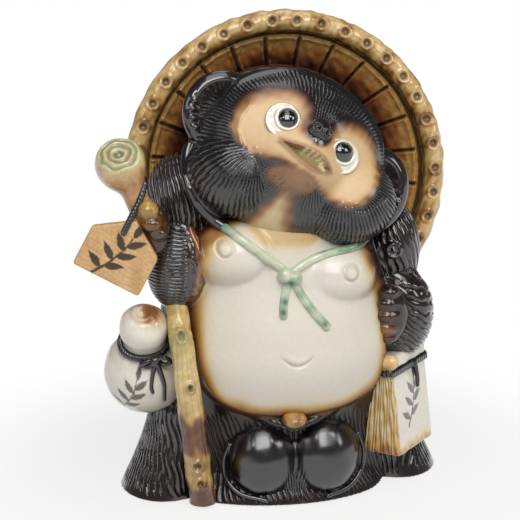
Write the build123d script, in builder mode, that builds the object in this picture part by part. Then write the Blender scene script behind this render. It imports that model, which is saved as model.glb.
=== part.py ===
"""Glazed ceramic tanuki statue, built from the clay pieces that are luted together before firing.

Units are millimetres. The statue stands on the XY plane, faces -Y and has its own left at +X.
The origin is the middle of the base underside.
"""
import math
import os

from build123d import *

os.makedirs("parts", exist_ok=True)

# Clay and glaze
wall = 6.0
slab_thickness = 5.0
vent_radius = 8.0
vent_back = 26.0

# Torso stations: height above the slab, half width, front reach and back reach
hip_height = 40.0
belly_height = 90.0
chest_height = 135.0
shoulder_height = 167.0
throat_height = 193.0
hem_half_width = 74.0
hip_half_width = 73.0
belly_half_width = 75.0
chest_half_width = 68.0
shoulder_half_width = 54.0
throat_half_width = 34.0
hem_front = 51.0
hip_front = 59.0
belly_front = 73.0
chest_front = 61.0
shoulder_front = 52.0
throat_front = 44.0
hem_back = 50.0
hip_back = 52.0
belly_back = 51.0
chest_back = 47.0
shoulder_back = 42.0
throat_back = 30.0
breast_across = 32.0
breast_half_width = 27.0
breast_half_height = 22.0
breast_swell = 3.0
seam_back = 6.0
navel_radius = 5.0
back_stroke_count = 8
back_stroke_pitch = 13.0
stroke_width = 2.4
stroke_depth = 1.0

# Legs
leg_height = 60.0
foot_half_width = 27.0
foot_half_depth = 35.0
knee_half_width = 17.0
knee_half_depth = 26.0
right_foot_out = 74.0
right_foot_forward = 12.0
left_foot_out = 80.0
left_foot_forward = -9.0
knee_tuck = 11.0

# Twin bag, nub and tail
bag_half_width = 24.5
bag_half_depth = 23.0
bag_half_height = 28.0
bag_spread = 23.5
bag_lean = 6.0
nub_radius = 8.0
tail_half_width = 24.0
tail_half_depth = 17.0
tail_half_height = 36.0

# Head, in its own tilted frame
head_across = 3.0
head_forward = 20.0
head_above_throat = 16.0
head_roll = 24.0
head_pitch = 12.0
head_half_width = 64.0
head_half_depth = 44.0
head_half_height = 54.0
muzzle_half_width = 24.0
muzzle_half_depth = 25.0
muzzle_half_height = 21.0
muzzle_drop = 4.0
muzzle_forward = 31.0
neck_vent_radius = 14.0
eye_across = 21.0
eye_up = 11.5
eye_shift = 3.0
eye_lean = 2.8
eye_radius = 10.5
nose_half_width = 9.0
nose_half_depth = 7.0
nose_half_height = 7.0
nose_across = 3.5
nose_up = 18.0
ear_radius = 23.0
ear_half_thickness = 8.0
ear_up = 6.0
ear_inset = 12.0
ear_shift = 4.5
ear_lean = 4.0
ear_hollow = 4.0
brow_stroke_count = 10
brow_stroke_start = 38.0

# Cheek ruffs
right_ruff_across = -32.5
right_ruff_drop = 7.0
left_ruff_across = 37.5
left_ruff_drop = 25.0
ruff_forward = 38.0
ruff_half_width = 31.5
ruff_half_depth = 28.5
ruff_half_height = 27.5

# Hat
hat_across = 9.0
hat_behind_head = 34.0
hat_drop = 18.5
hat_tilt = 8.0
hat_radius = 101.5
rim_half_width = 6.8
rim_half_depth = 7.0
hat_depth = 44.0
dish_wall = 7.0
rim_dimple_count = 38
rim_dimple_radius = 3.2

# Arms
right_shoulder_forward = 20.0
right_shoulder_half_width = 22.0
right_shoulder_half_depth = 24.0
right_shoulder_half_height = 33.0
right_forearm_forward = 37.0
right_forearm_half_width = 19.0
right_forearm_half_depth = 19.0
right_forearm_half_height = 28.0
left_shoulder_forward = 7.0
left_shoulder_half_width = 19.0
left_shoulder_half_depth = 23.0
left_shoulder_half_height = 31.0
left_forearm_forward = 21.0
left_forearm_half_width = 21.0
left_forearm_half_depth = 20.0
left_forearm_half_height = 29.0
paw_half_width = 9.0
paw_half_depth = 9.0
paw_half_height = 15.0

# Staff with its cut knob
staff_foot_radius = 8.0
staff_top_radius = 6.5
staff_foot_out = 52.5
staff_lean = 13.0
staff_bow = 8.0
neck_radius = 9.5
knob_radius = 15.5
knob_out = 101.0
knob_rise = 40.0
knob_cut = 6.0

# Plaque and its cord
plaque_thickness = 6.0
plaque_width = 44.0
plaque_side = 26.0
plaque_peak = 15.0
plaque_roll = 28.0
plaque_yaw = 8.0
plaque_cord_radius = 1.6

# Flask
flask_out = 83.0
flask_forward = 10.0
flask_foot_height = 57.0
flask_lean_forward = 30.0
flask_lean_out = 4.0
flask_body_radius = 26.0
flask_body_height = 53.0
flask_neck_radius = 13.0
flask_bulb_radius = 15.0
flask_bulb_height = 26.0
flask_mouth_radius = 9.0
flask_bore_radius = 6.0
flask_bore_depth = 6.0
flask_cord_radius = 2.4

# Ledger
ledger_foot_height = 24.0
ledger_height = 64.0
ledger_thickness = 21.0
ledger_top_thickness = 15.0
ledger_depth = 48.0
ledger_turn = 52.0
ledger_out = 76.0
ledger_forward = 24.0
ledger_band_height = 6.0
ledger_band_rise = 1.6

# Neck cord
cord_width = 6.5
cord_rise = 3.0
cord_knot_rise = 6.0
right_strand_slope = 37.0
left_strand_slope = 14.0
strand_length = 64.0
knot_half_width = 8.5
knot_half_height = 7.0
tail_length = 18.0
long_tail_length = 34.0
long_tail_slope = 35.0

# Places that follow from the sizes above
floor = slab_thickness
chest_z = floor + chest_height
shoulder_z = floor + shoulder_height
throat_z = floor + throat_height
head_z = throat_z + head_above_throat
head_place = Pos(head_across, -head_forward, head_z) * Rot(0, head_roll, 0) * Rot(-head_pitch, 0, 0)
hat_centre = Vector(hat_across, hat_behind_head - head_forward, head_z - hat_drop)
hat_axis = Vector(0, -math.cos(math.radians(hat_tilt)), math.sin(math.radians(hat_tilt)))
hat_section = Plane(origin=hat_centre, x_dir=hat_axis.cross(Vector(1, 0, 0)), z_dir=(1, 0, 0))
coil_radius = hat_radius - rim_half_width

torso_stations = (
    (0.0, hem_half_width, hem_front, hem_back),
    (hip_height, hip_half_width, hip_front, hip_back),
    (belly_height, belly_half_width, belly_front, belly_back),
    (chest_height, chest_half_width, chest_front, chest_back),
    (shoulder_height, shoulder_half_width, shoulder_front, shoulder_back),
    (throat_height, throat_half_width, throat_front, throat_back),
)


def ellipsoid(half_width, half_depth, half_height, place):
    """A rounded lump of clay with its middle at the given place, and its seam on the outer side."""
    with BuildPart() as lump:
        Sphere(1)
        scale(by=(half_width, half_depth, half_height))
    outward = Rot(0, 0, 180) if place.position.X < 0 else Rot(0, 0, 0)
    return lump.part.moved(place * outward)


def torso_loft(swell):
    """The torso body, grown outwards by swell, or shrunk when swell is negative."""
    with BuildPart() as body:
        for height, half_width, front, back in torso_stations:
            with BuildSketch(Plane.XY.offset(floor + height)):
                with Locations((0, (back - front) / 2)):
                    Ellipse(half_width + swell, (front + back) / 2 + swell)
        loft()
    return body.part


def torso_front(height):
    """How far the torso reaches forward at a height between the chest and shoulder stations."""
    share = (height - chest_height) / (shoulder_height - chest_height)
    return chest_front + (shoulder_front - chest_front) * share


def head_surface(across, up):
    """How far the head egg reaches forward at a place on its face."""
    return head_half_depth * math.sqrt(1 - (across / head_half_width) ** 2 - (up / head_half_height) ** 2)


# Solid outlines that the pieces are cut to
breast_forward = (chest_front + shoulder_front) / 2
breast_z = (chest_z + shoulder_z) / 2 - 4


def breast_lumps(swell):
    """The two breasts, grown outwards by swell."""
    lumps = []
    for side in (-1, 1):
        breast_y = breast_half_width - breast_forward - breast_swell
        breast_place = Pos(side * breast_across, breast_y, breast_z - side * 7)
        half_width = breast_half_width + swell
        lumps.append(ellipsoid(half_width, half_width, breast_half_height + swell, breast_place))
    return lumps


navel_place = Pos(0, -belly_front - navel_radius / 3, floor + belly_height)
navel_dent = ellipsoid(navel_radius * 1.8, navel_radius, navel_radius, navel_place)
with BuildPart() as torso_form:
    add(torso_loft(0))
    for lump in breast_lumps(0):
        add(lump)
    add(navel_dent, mode=Mode.SUBTRACT)

muzzle_place = head_place * Pos(0, -muzzle_forward, -muzzle_drop)
with BuildPart() as head_form:
    add(ellipsoid(head_half_width, head_half_depth, head_half_height, head_place))
    add(ellipsoid(muzzle_half_width, muzzle_half_depth, muzzle_half_height, muzzle_place))

# Base slab with the firing vent
right_foot_centre = (-right_foot_out, -right_foot_forward)
left_foot_centre = (left_foot_out, -left_foot_forward)
with BuildPart() as base_slab:
    with BuildSketch(Plane.XY):
        with Locations((0, (hem_back - hem_front) / 2)):
            Ellipse(hem_half_width, (hem_front + hem_back) / 2)
        with Locations(right_foot_centre, left_foot_centre):
            Ellipse(foot_half_width, foot_half_depth)
        with Locations((-staff_foot_radius / 2, -hem_front)):
            Ellipse(staff_foot_out + staff_foot_radius / 2, bag_half_depth / 2)
        with Locations((0, vent_back)):
            Circle(vent_radius, mode=Mode.SUBTRACT)
    extrude(amount=slab_thickness)
base_slab.part.label = "base_slab"
export_step(base_slab.part, "parts/base_slab.step")

# Torso shells, parted by a seam across the shoulders
torso_hollow = torso_loft(-wall)
with BuildPart() as torso_clay:
    add(torso_form.part)
    add(torso_hollow, mode=Mode.SUBTRACT)
    add(head_form.part, mode=Mode.SUBTRACT)

seam = Plane(origin=(0, seam_back, 0), x_dir=(1, 0, 0), z_dir=(0, -1, 0))
with BuildPart() as torso_front_shell:
    add(torso_clay.part)
    split(bisect_by=seam, keep=Keep.TOP)
torso_front_shell.part.label = "torso_front_shell"
export_step(torso_front_shell.part, "parts/torso_front_shell.step")

# Main comb strokes down the back, below the hat
back_stroke_height = chest_height - hip_height / 2
back_core = torso_loft(-stroke_depth)
with BuildPart() as back_strokes:
    for i in range(back_stroke_count):
        stroke_x = (i - (back_stroke_count - 1) / 2) * back_stroke_pitch
        with Locations((stroke_x, seam_back + belly_back, floor + hip_height / 2)):
            Box(
                stroke_width,
                belly_back,
                back_stroke_height,
                align=(Align.CENTER, Align.CENTER, Align.MIN),
            )
    add(back_core, mode=Mode.SUBTRACT)

with BuildPart() as torso_back_shell:
    add(torso_clay.part)
    split(bisect_by=seam, keep=Keep.BOTTOM)
    add(back_strokes.part, mode=Mode.SUBTRACT)
torso_back_shell.part.label = "torso_back_shell"
export_step(torso_back_shell.part, "parts/torso_back_shell.step")

# Head shells, parted behind the ears, with a vent down into the torso
head_hollow = ellipsoid(
    head_half_width - wall,
    head_half_depth - wall,
    head_half_height - wall,
    head_place,
)
with BuildPart() as head_clay:
    add(head_form.part)
    add(head_hollow, mode=Mode.SUBTRACT)
    with Locations(Pos(head_across, -head_forward, head_z - head_half_height)):
        Cylinder(neck_vent_radius, head_half_height, mode=Mode.SUBTRACT)

# Main comb strokes over the brow, fanned about the face
brow_core = ellipsoid(
    head_half_width - stroke_depth,
    head_half_depth - stroke_depth,
    head_half_height - stroke_depth,
    head_place,
)
brow_stroke_length = head_half_width - brow_stroke_start + wall
with BuildPart() as brow_strokes:
    for i in range(brow_stroke_count):
        stroke_turn = Rot(0, -180 * (i + 0.5) / brow_stroke_count, 0)
        with Locations(head_place * stroke_turn * Pos(brow_stroke_start, -head_half_depth / 2, 0)):
            Box(
                brow_stroke_length,
                head_half_depth,
                stroke_width,
                align=(Align.MIN, Align.CENTER, Align.CENTER),
            )
    add(brow_core, mode=Mode.SUBTRACT)

head_seam = Plane(head_place * Rot(90, 0, 0))
with BuildPart() as head_front_shell:
    add(head_clay.part)
    split(bisect_by=head_seam, keep=Keep.TOP)
    add(brow_strokes.part, mode=Mode.SUBTRACT)
head_front_shell.part.label = "head_front_shell"
export_step(head_front_shell.part, "parts/head_front_shell.step")

with BuildPart() as head_back_shell:
    add(head_clay.part)
    split(bisect_by=head_seam, keep=Keep.BOTTOM)
head_back_shell.part.label = "head_back_shell"
export_step(head_back_shell.part, "parts/head_back_shell.step")

# Cheek ruffs hang beside the chin
right_ruff_place = Pos(right_ruff_across + head_across, -ruff_forward, head_z - right_ruff_drop)
right_ruff_lump = ellipsoid(ruff_half_width, ruff_half_depth, ruff_half_height, right_ruff_place)
with BuildPart() as right_cheek_ruff:
    add(right_ruff_lump)
    add(head_form.part, mode=Mode.SUBTRACT)
    add(torso_form.part, mode=Mode.SUBTRACT)
right_cheek_ruff.part.label = "right_cheek_ruff"
export_step(right_cheek_ruff.part, "parts/right_cheek_ruff.step")

left_ruff_place = Pos(left_ruff_across, -ruff_forward, head_z - left_ruff_drop)
left_ruff_lump = ellipsoid(ruff_half_width, ruff_half_depth, ruff_half_height, left_ruff_place)
with BuildPart() as left_cheek_ruff:
    add(left_ruff_lump)
    add(head_form.part, mode=Mode.SUBTRACT)
    add(torso_form.part, mode=Mode.SUBTRACT)
    add(right_ruff_lump, mode=Mode.SUBTRACT)
left_cheek_ruff.part.label = "left_cheek_ruff"
export_step(left_cheek_ruff.part, "parts/left_cheek_ruff.step")

# Shoulders, luted to the torso under the cheek ruffs
right_shoulder_out = shoulder_half_width + 8
right_shoulder_place = Pos(-right_shoulder_out, -right_shoulder_forward, shoulder_z + 12)
with BuildPart() as right_shoulder:
    add(
        ellipsoid(
            right_shoulder_half_width,
            right_shoulder_half_depth,
            right_shoulder_half_height,
            right_shoulder_place,
        )
    )
    add(torso_form.part, mode=Mode.SUBTRACT)
    add(head_form.part, mode=Mode.SUBTRACT)
    add(right_ruff_lump, mode=Mode.SUBTRACT)
right_shoulder.part.label = "right_shoulder"
export_step(right_shoulder.part, "parts/right_shoulder.step")

left_shoulder_out = chest_half_width + 4
left_shoulder_place = Pos(left_shoulder_out, -left_shoulder_forward, chest_z + 9)
with BuildPart() as left_shoulder:
    add(
        ellipsoid(
            left_shoulder_half_width,
            left_shoulder_half_depth,
            left_shoulder_half_height,
            left_shoulder_place,
        )
    )
    add(torso_form.part, mode=Mode.SUBTRACT)
    add(head_form.part, mode=Mode.SUBTRACT)
    add(left_ruff_lump, mode=Mode.SUBTRACT)
left_shoulder.part.label = "left_shoulder"
export_step(left_shoulder.part, "parts/left_shoulder.step")

# Ears are dished discs luted to the sides of the head
ear_across = head_half_width - ear_inset
right_ear_place = head_place * Pos(ear_shift - ear_across, -ear_half_thickness, ear_up + ear_lean)
with BuildPart() as right_ear:
    add(ellipsoid(ear_radius, ear_half_thickness, ear_radius, right_ear_place))
    dent_place = right_ear_place * Pos(0, -ear_half_thickness, 0)
    add(ellipsoid(ear_radius * 0.7, ear_hollow, ear_radius * 0.7, dent_place), mode=Mode.SUBTRACT)
    add(head_form.part, mode=Mode.SUBTRACT)
    add(right_cheek_ruff.part, mode=Mode.SUBTRACT)
right_ear.part.label = "right_ear"
export_step(right_ear.part, "parts/right_ear.step")

left_ear_place = head_place * Pos(ear_shift + ear_across, -ear_half_thickness, ear_up - ear_lean)
with BuildPart() as left_ear:
    add(ellipsoid(ear_radius, ear_half_thickness, ear_radius, left_ear_place))
    dent_place = left_ear_place * Pos(0, -ear_half_thickness, 0)
    add(ellipsoid(ear_radius * 0.7, ear_hollow, ear_radius * 0.7, dent_place), mode=Mode.SUBTRACT)
    add(head_form.part, mode=Mode.SUBTRACT)
    add(left_cheek_ruff.part, mode=Mode.SUBTRACT)
left_ear.part.label = "left_ear"
export_step(left_ear.part, "parts/left_ear.step")

# Eyes are domed pellets seated on the face
eye_seat_depth = eye_radius * 0.45
right_eye_seat = head_surface(eye_shift - eye_across, eye_up + eye_lean) - eye_seat_depth
with BuildPart() as right_eye:
    with Locations(head_place * Pos(eye_shift - eye_across, -right_eye_seat, eye_up + eye_lean)):
        Sphere(eye_radius)
    add(head_form.part, mode=Mode.SUBTRACT)
right_eye.part.label = "right_eye"
export_step(right_eye.part, "parts/right_eye.step")

left_eye_seat = head_surface(eye_shift + eye_across, eye_up - eye_lean) - eye_seat_depth
with BuildPart() as left_eye:
    with Locations(head_place * Pos(eye_shift + eye_across, -left_eye_seat, eye_up - eye_lean)):
        Sphere(eye_radius)
    add(head_form.part, mode=Mode.SUBTRACT)
left_eye.part.label = "left_eye"
export_step(left_eye.part, "parts/left_eye.step")

# Nose pellet on the end of the muzzle
nose_share = (nose_across / muzzle_half_width) ** 2 + (nose_up / muzzle_half_height) ** 2
nose_reach = muzzle_half_depth * math.sqrt(1 - nose_share)
nose_place = muzzle_place * Pos(nose_across, -nose_reach, nose_up)
with BuildPart() as nose:
    add(ellipsoid(nose_half_width, nose_half_depth, nose_half_height, nose_place))
    add(head_form.part, mode=Mode.SUBTRACT)
nose.part.label = "nose"
export_step(nose.part, "parts/nose.step")

# Hat: a thrown dish with a thick coil round its edge
hat_carriers = (head_form, torso_form, left_shoulder, right_shoulder, right_ear, left_ear)
with BuildPart() as hat_rim:
    with BuildSketch(hat_section):
        with Locations((coil_radius, 0)):
            Ellipse(rim_half_width, rim_half_depth)
    revolve(axis=Axis(hat_centre, hat_axis))
    dimple_ring = Plane(origin=hat_centre + hat_axis * (rim_half_depth + 1), x_dir=(1, 0, 0), z_dir=hat_axis)
    with Locations(dimple_ring):
        with PolarLocations(coil_radius, rim_dimple_count):
            Sphere(rim_dimple_radius, mode=Mode.SUBTRACT)
    for carrier in hat_carriers:
        add(carrier.part, mode=Mode.SUBTRACT)
hat_rim.part.label = "hat_rim"
export_step(hat_rim.part, "parts/hat_rim.step")

with BuildPart() as hat_ring_form:
    with BuildSketch(hat_section):
        with Locations((coil_radius, 0)):
            Ellipse(rim_half_width, rim_half_depth)
    revolve(axis=Axis(hat_centre, hat_axis))



def dish_sphere(edge, depth):
    """Radius and centre height of the sphere through the dish edge and its deepest point."""
    centre = (coil_radius**2 + edge**2 - depth**2) / (2 * (depth + edge))
    return centre + depth, centre


outer_radius, outer_centre = dish_sphere(-rim_half_depth / 2, hat_depth)
inner_radius, inner_centre = dish_sphere(rim_half_depth / 2, hat_depth - dish_wall)
hat_back = Plane(origin=hat_centre - hat_axis * (hat_depth + 1), x_dir=(1, 0, 0), z_dir=hat_axis)
with BuildPart() as hat_dish:
    with Locations(hat_back):
        Cylinder(coil_radius, 2 * hat_depth, align=(Align.CENTER, Align.CENTER, Align.MIN))
    with Locations(hat_back.offset(hat_depth + 1 + outer_centre)):
        Sphere(outer_radius, mode=Mode.INTERSECT)
    with Locations(hat_back.offset(hat_depth + 1 + inner_centre)):
        Sphere(inner_radius, mode=Mode.SUBTRACT)
    add(hat_ring_form.part, mode=Mode.SUBTRACT)
    for carrier in hat_carriers:
        add(carrier.part, mode=Mode.SUBTRACT)
hat_dish.part.label = "hat_dish"
export_step(hat_dish.part, "parts/hat_dish.step")

# Legs flare into combed feet
with BuildPart() as right_leg:
    with BuildSketch(Plane.XY.offset(floor)):
        with Locations(right_foot_centre):
            Ellipse(foot_half_width, foot_half_depth)
    with BuildSketch(Plane.XY.offset(floor + leg_height)):
        with Locations((knee_tuck - right_foot_out, -right_foot_forward)):
            Ellipse(knee_half_width, knee_half_depth)
    loft()
    add(torso_form.part, mode=Mode.SUBTRACT)
right_leg.part.label = "right_leg"
export_step(right_leg.part, "parts/right_leg.step")

with BuildPart() as left_leg:
    with BuildSketch(Plane.XY.offset(floor)):
        with Locations(left_foot_centre):
            Ellipse(foot_half_width, foot_half_depth)
    with BuildSketch(Plane.XY.offset(floor + leg_height)):
        with Locations((left_foot_out - knee_tuck, -left_foot_forward)):
            Ellipse(knee_half_width, knee_half_depth)
    loft()
    add(torso_form.part, mode=Mode.SUBTRACT)
left_leg.part.label = "left_leg"
export_step(left_leg.part, "parts/left_leg.step")

# Twin bag under the belly, with the nub above it
bag_z = floor + bag_half_height
bag_lobes = [
    ellipsoid(
        bag_half_width,
        bag_half_depth,
        bag_half_height,
        Pos(bag_lean + side * bag_spread, bag_half_depth / 4 - hem_front, bag_z),
    )
    for side in (-1, 1)
]
with BuildPart() as money_bag:
    for lobe in bag_lobes:
        add(lobe)
    add(torso_form.part, mode=Mode.SUBTRACT)
    add(right_leg.part, mode=Mode.SUBTRACT)
    add(left_leg.part, mode=Mode.SUBTRACT)
money_bag.part.label = "money_bag"
export_step(money_bag.part, "parts/money_bag.step")

with BuildPart() as belly_nub:
    nub_height = floor + hip_height + nub_radius * 1.6
    with Locations((bag_lean / 2, -(hip_front + belly_front) / 2, nub_height)):
        Sphere(nub_radius)
    add(torso_form.part, mode=Mode.SUBTRACT)
    add(money_bag.part, mode=Mode.SUBTRACT)
belly_nub.part.label = "belly_nub"
export_step(belly_nub.part, "parts/belly_nub.step")

# Tail down the back
tail_place = Pos(0, hip_back - tail_half_depth * 0.2, floor + tail_half_height)
with BuildPart() as tail:
    add(ellipsoid(tail_half_width, tail_half_depth, tail_half_height, tail_place))
    add(torso_form.part, mode=Mode.SUBTRACT)
tail.part.label = "tail"
export_step(tail.part, "parts/tail.step")

# Right forearm
right_forearm_out = chest_half_width - 2
right_forearm_place = Pos(-right_forearm_out, -right_forearm_forward, chest_z + 11)
with BuildPart() as right_forearm:
    add(
        ellipsoid(
            right_forearm_half_width,
            right_forearm_half_depth,
            right_forearm_half_height,
            right_forearm_place,
        )
    )
    add(torso_form.part, mode=Mode.SUBTRACT)
    add(right_ruff_lump, mode=Mode.SUBTRACT)
    add(right_shoulder.part, mode=Mode.SUBTRACT)
right_forearm.part.label = "right_forearm"
export_step(right_forearm.part, "parts/right_forearm.step")

# Left forearm
left_forearm_out = (belly_half_width + chest_half_width) / 2 + 5.5
left_forearm_place = Pos(left_forearm_out, -left_forearm_forward, chest_z - 29)
with BuildPart() as left_forearm:
    add(
        ellipsoid(
            left_forearm_half_width,
            left_forearm_half_depth,
            left_forearm_half_height,
            left_forearm_place,
        )
    )
    add(torso_form.part, mode=Mode.SUBTRACT)
    add(left_shoulder.part, mode=Mode.SUBTRACT)
left_forearm.part.label = "left_forearm"
export_step(left_forearm.part, "parts/left_forearm.step")

# Staff: the lower length stands on the slab and runs up under the forearm
staff_head = Vector(-staff_foot_out - staff_lean, -belly_front + 16, chest_z - 6)
staff_foot = Vector(-staff_foot_out, -hem_front - 9, floor)
staff_mid = (staff_head + staff_foot) / 2 + Vector(-staff_bow / 4, -staff_bow / 2, 0)
with BuildPart() as staff_lower:
    with BuildSketch(Plane.XY.offset(staff_foot.Z)):
        with Locations((staff_foot.X, staff_foot.Y)):
            Circle(staff_foot_radius)
    with BuildSketch(Plane.XY.offset(staff_mid.Z)):
        with Locations((staff_mid.X, staff_mid.Y)):
            Circle((staff_foot_radius + staff_top_radius) / 2)
    with BuildSketch(Plane.XY.offset(staff_head.Z)):
        with Locations((staff_head.X, staff_head.Y)):
            Circle(staff_top_radius)
    loft()
    for carrier in (torso_form, right_leg, money_bag, right_forearm):
        add(carrier.part, mode=Mode.SUBTRACT)
staff_lower.part.label = "staff_lower"
export_step(staff_lower.part, "parts/staff_lower.step")

# Staff: the upper length leaves the paw and ends in a cut knob
knob_centre = Vector(-knob_out, -right_forearm_forward - 8, shoulder_z + knob_rise + 7)
grip = Vector(-right_forearm_out - 13, -right_forearm_forward - 7, chest_z + 28)
neck_axis = (knob_centre - grip).normalized()
neck_plane = Plane(origin=grip, z_dir=neck_axis)
knob_cut_axis = Vector(-0.15, -0.62, 0.77)
with BuildPart() as staff_upper:
    with BuildSketch(neck_plane):
        Circle(neck_radius)
    extrude(amount=(knob_centre - grip).length)
    with Locations(Pos(*knob_centre)):
        Sphere(knob_radius)
    split(bisect_by=Plane(knob_centre + knob_cut_axis * (knob_radius - knob_cut), z_dir=knob_cut_axis), keep=Keep.BOTTOM)
    for carrier in (right_forearm, right_shoulder, hat_rim, hat_dish):
        add(carrier.part, mode=Mode.SUBTRACT)
staff_upper.part.label = "staff_upper"
export_step(staff_upper.part, "parts/staff_upper.step")

# Plaque hangs in front of the grip
plaque_place = Pos(-right_forearm_out - 38, -right_forearm_forward - 15, chest_z + 19)
plaque_turn = Rot(0, 0, -plaque_yaw) * Rot(0, plaque_roll, 0) * Rot(90, 0, 0)
plaque_plane = Plane(plaque_place * plaque_turn)
half_plaque = plaque_width / 2
with BuildPart() as plaque:
    with BuildSketch(plaque_plane):
        Polygon(
            (-half_plaque, -plaque_side / 2),
            (half_plaque, -plaque_side / 2),
            (half_plaque, plaque_side / 2),
            (0, plaque_side / 2 + plaque_peak),
            (-half_plaque, plaque_side / 2),
            align=None,
        )
    extrude(amount=plaque_thickness / 2, both=True)
    for carrier in (right_forearm, staff_upper, right_shoulder):
        add(carrier.part, mode=Mode.SUBTRACT)
plaque.part.label = "plaque"
export_step(plaque.part, "parts/plaque.step")

# Cord from the plaque up to the staff neck
cord_start = plaque_place.position + Vector(5, -plaque_thickness / 2 - 0.6, plaque_side / 2 + 5)
cord_end = grip + neck_axis * 30 + Vector(neck_radius * 0.6, -neck_radius * 0.95, 0)
with BuildPart() as plaque_cord:
    with BuildSketch(Plane(origin=cord_start, z_dir=cord_end - cord_start)):
        Circle(plaque_cord_radius)
    extrude(amount=(cord_end - cord_start).length)
    for carrier in (staff_upper, plaque, right_shoulder):
        add(carrier.part, mode=Mode.SUBTRACT)
plaque_cord.part.label = "plaque_cord"
export_step(plaque_cord.part, "parts/plaque_cord.step")

# Right paw closes over the grip
right_paw_place = Pos(-right_forearm_out - 15, -right_forearm_forward - 15, chest_z + 37) * Rot(0, 25, 0)
with BuildPart() as right_paw:
    add(ellipsoid(paw_half_width, paw_half_depth, paw_half_height, right_paw_place))
    for carrier in (right_forearm, right_shoulder, staff_upper, plaque, plaque_cord):
        add(carrier.part, mode=Mode.SUBTRACT)
right_paw.part.label = "right_paw"
export_step(right_paw.part, "parts/right_paw.step")

# Flask leans against the leg and the forearm
flask_place = Pos(-flask_out, -flask_forward, flask_foot_height)
flask_turn = Rot(0, -flask_lean_out, 0) * Rot(flask_lean_forward, 0, 0)
flask_section = Plane(flask_place * flask_turn * Rot(90, 0, 0))
flask_stem = Axis(flask_section.origin, flask_section.y_dir)
flask_top = flask_body_height + flask_bulb_height
with BuildPart() as flask:
    with BuildSketch(flask_section):
        with BuildLine():
            bottom = Line((0, 0), (flask_body_radius * 0.55, 0))
            belly = ThreePointArc(
                bottom @ 1,
                (flask_body_radius * 0.9, flask_body_height * 0.25),
                (flask_body_radius, flask_body_height * 0.53),
            )
            shoulder = ThreePointArc(
                belly @ 1,
                (flask_body_radius * 0.86, flask_body_height * 0.82),
                (flask_neck_radius, flask_body_height),
            )
            flare = ThreePointArc(
                shoulder @ 1,
                (flask_bulb_radius, flask_body_height + flask_bulb_height * 0.5),
                (flask_mouth_radius, flask_top),
            )
            lip = Line(flare @ 1, (flask_bore_radius, flask_top))
            bore = Line(lip @ 1, (flask_bore_radius, flask_top - flask_bore_depth))
            bed = Line(bore @ 1, (0, flask_top - flask_bore_depth))
            Line(bed @ 1, (0, 0))
        make_face()
    revolve(axis=flask_stem)
    for carrier in (torso_form, right_leg, right_forearm, staff_lower, plaque):
        add(carrier.part, mode=Mode.SUBTRACT)
flask.part.label = "flask"
export_step(flask.part, "parts/flask.step")

with BuildPart() as flask_cord:
    with BuildSketch(flask_section):
        with Locations((flask_neck_radius + flask_cord_radius / 2, flask_body_height)):
            Circle(flask_cord_radius)
    revolve(axis=flask_stem)
    for carrier in (flask, torso_form, right_forearm, staff_lower):
        add(carrier.part, mode=Mode.SUBTRACT)
flask_cord.part.label = "flask_cord"
export_step(flask_cord.part, "parts/flask_cord.step")

# Ledger hangs from the left paw and rests on the foot
ledger_turned = Pos(ledger_out, -ledger_forward, ledger_foot_height) * Rot(0, 0, ledger_turn)
ledger_base = Plane(ledger_turned)
with BuildPart() as ledger_form:
    with BuildSketch(ledger_base):
        Rectangle(ledger_depth, ledger_thickness)
    with BuildSketch(ledger_base.offset(ledger_height)):
        Rectangle(ledger_depth, ledger_top_thickness)
    loft()

with BuildPart() as ledger:
    add(ledger_form.part)
    for carrier in (torso_form, left_leg, left_forearm):
        add(carrier.part, mode=Mode.SUBTRACT)
ledger.part.label = "ledger"
export_step(ledger.part, "parts/ledger.step")

band_height = ledger_height - ledger_band_height * 2
with BuildPart() as ledger_cord:
    with BuildSketch(ledger_base.offset(band_height)):
        Rectangle(ledger_depth + 2 * ledger_band_rise, ledger_thickness)
    extrude(amount=ledger_band_height)
    add(ledger_form.part, mode=Mode.SUBTRACT)
    for carrier in (torso_form, left_leg, left_forearm):
        add(carrier.part, mode=Mode.SUBTRACT)
ledger_cord.part.label = "ledger_cord"
export_step(ledger_cord.part, "parts/ledger_cord.step")

# Left paw grips the top of the ledger
left_paw_rest = Pos(left_forearm_out - 13, -left_forearm_forward - 22, left_forearm_place.position.Z + 4)
left_paw_place = left_paw_rest * Rot(0, 0, 180)
with BuildPart() as left_paw:
    add(ellipsoid(paw_half_width, paw_half_depth, paw_half_height, left_paw_place))
    for carrier in (left_forearm, torso_form, ledger, ledger_cord, left_shoulder):
        add(carrier.part, mode=Mode.SUBTRACT)
left_paw.part.label = "left_paw"
export_step(left_paw.part, "parts/left_paw.step")

# Neck cord: raised strands that follow the chest
with BuildPart() as chest_skin:
    add(torso_loft(cord_rise))
    for lump in breast_lumps(cord_rise):
        add(lump)
knot_place = Pos(0, -torso_front(chest_height + cord_knot_rise), chest_z + cord_knot_rise)
right_strand_place = knot_place * Rot(0, right_strand_slope, 0) * Pos(-strand_length / 2, 0, 0)
left_strand_place = knot_place * Rot(0, -left_strand_slope, 0) * Pos(strand_length / 2, 0, 0)
short_tail_place = knot_place * Rot(0, 14, 0) * Pos(0, 0, -tail_length / 2)
long_tail_place = knot_place * Rot(0, -long_tail_slope, 0) * Pos(0, 0, -long_tail_length / 2)
cord_carriers = (torso_form, head_form, right_cheek_ruff, left_cheek_ruff, right_shoulder, left_shoulder)

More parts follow.
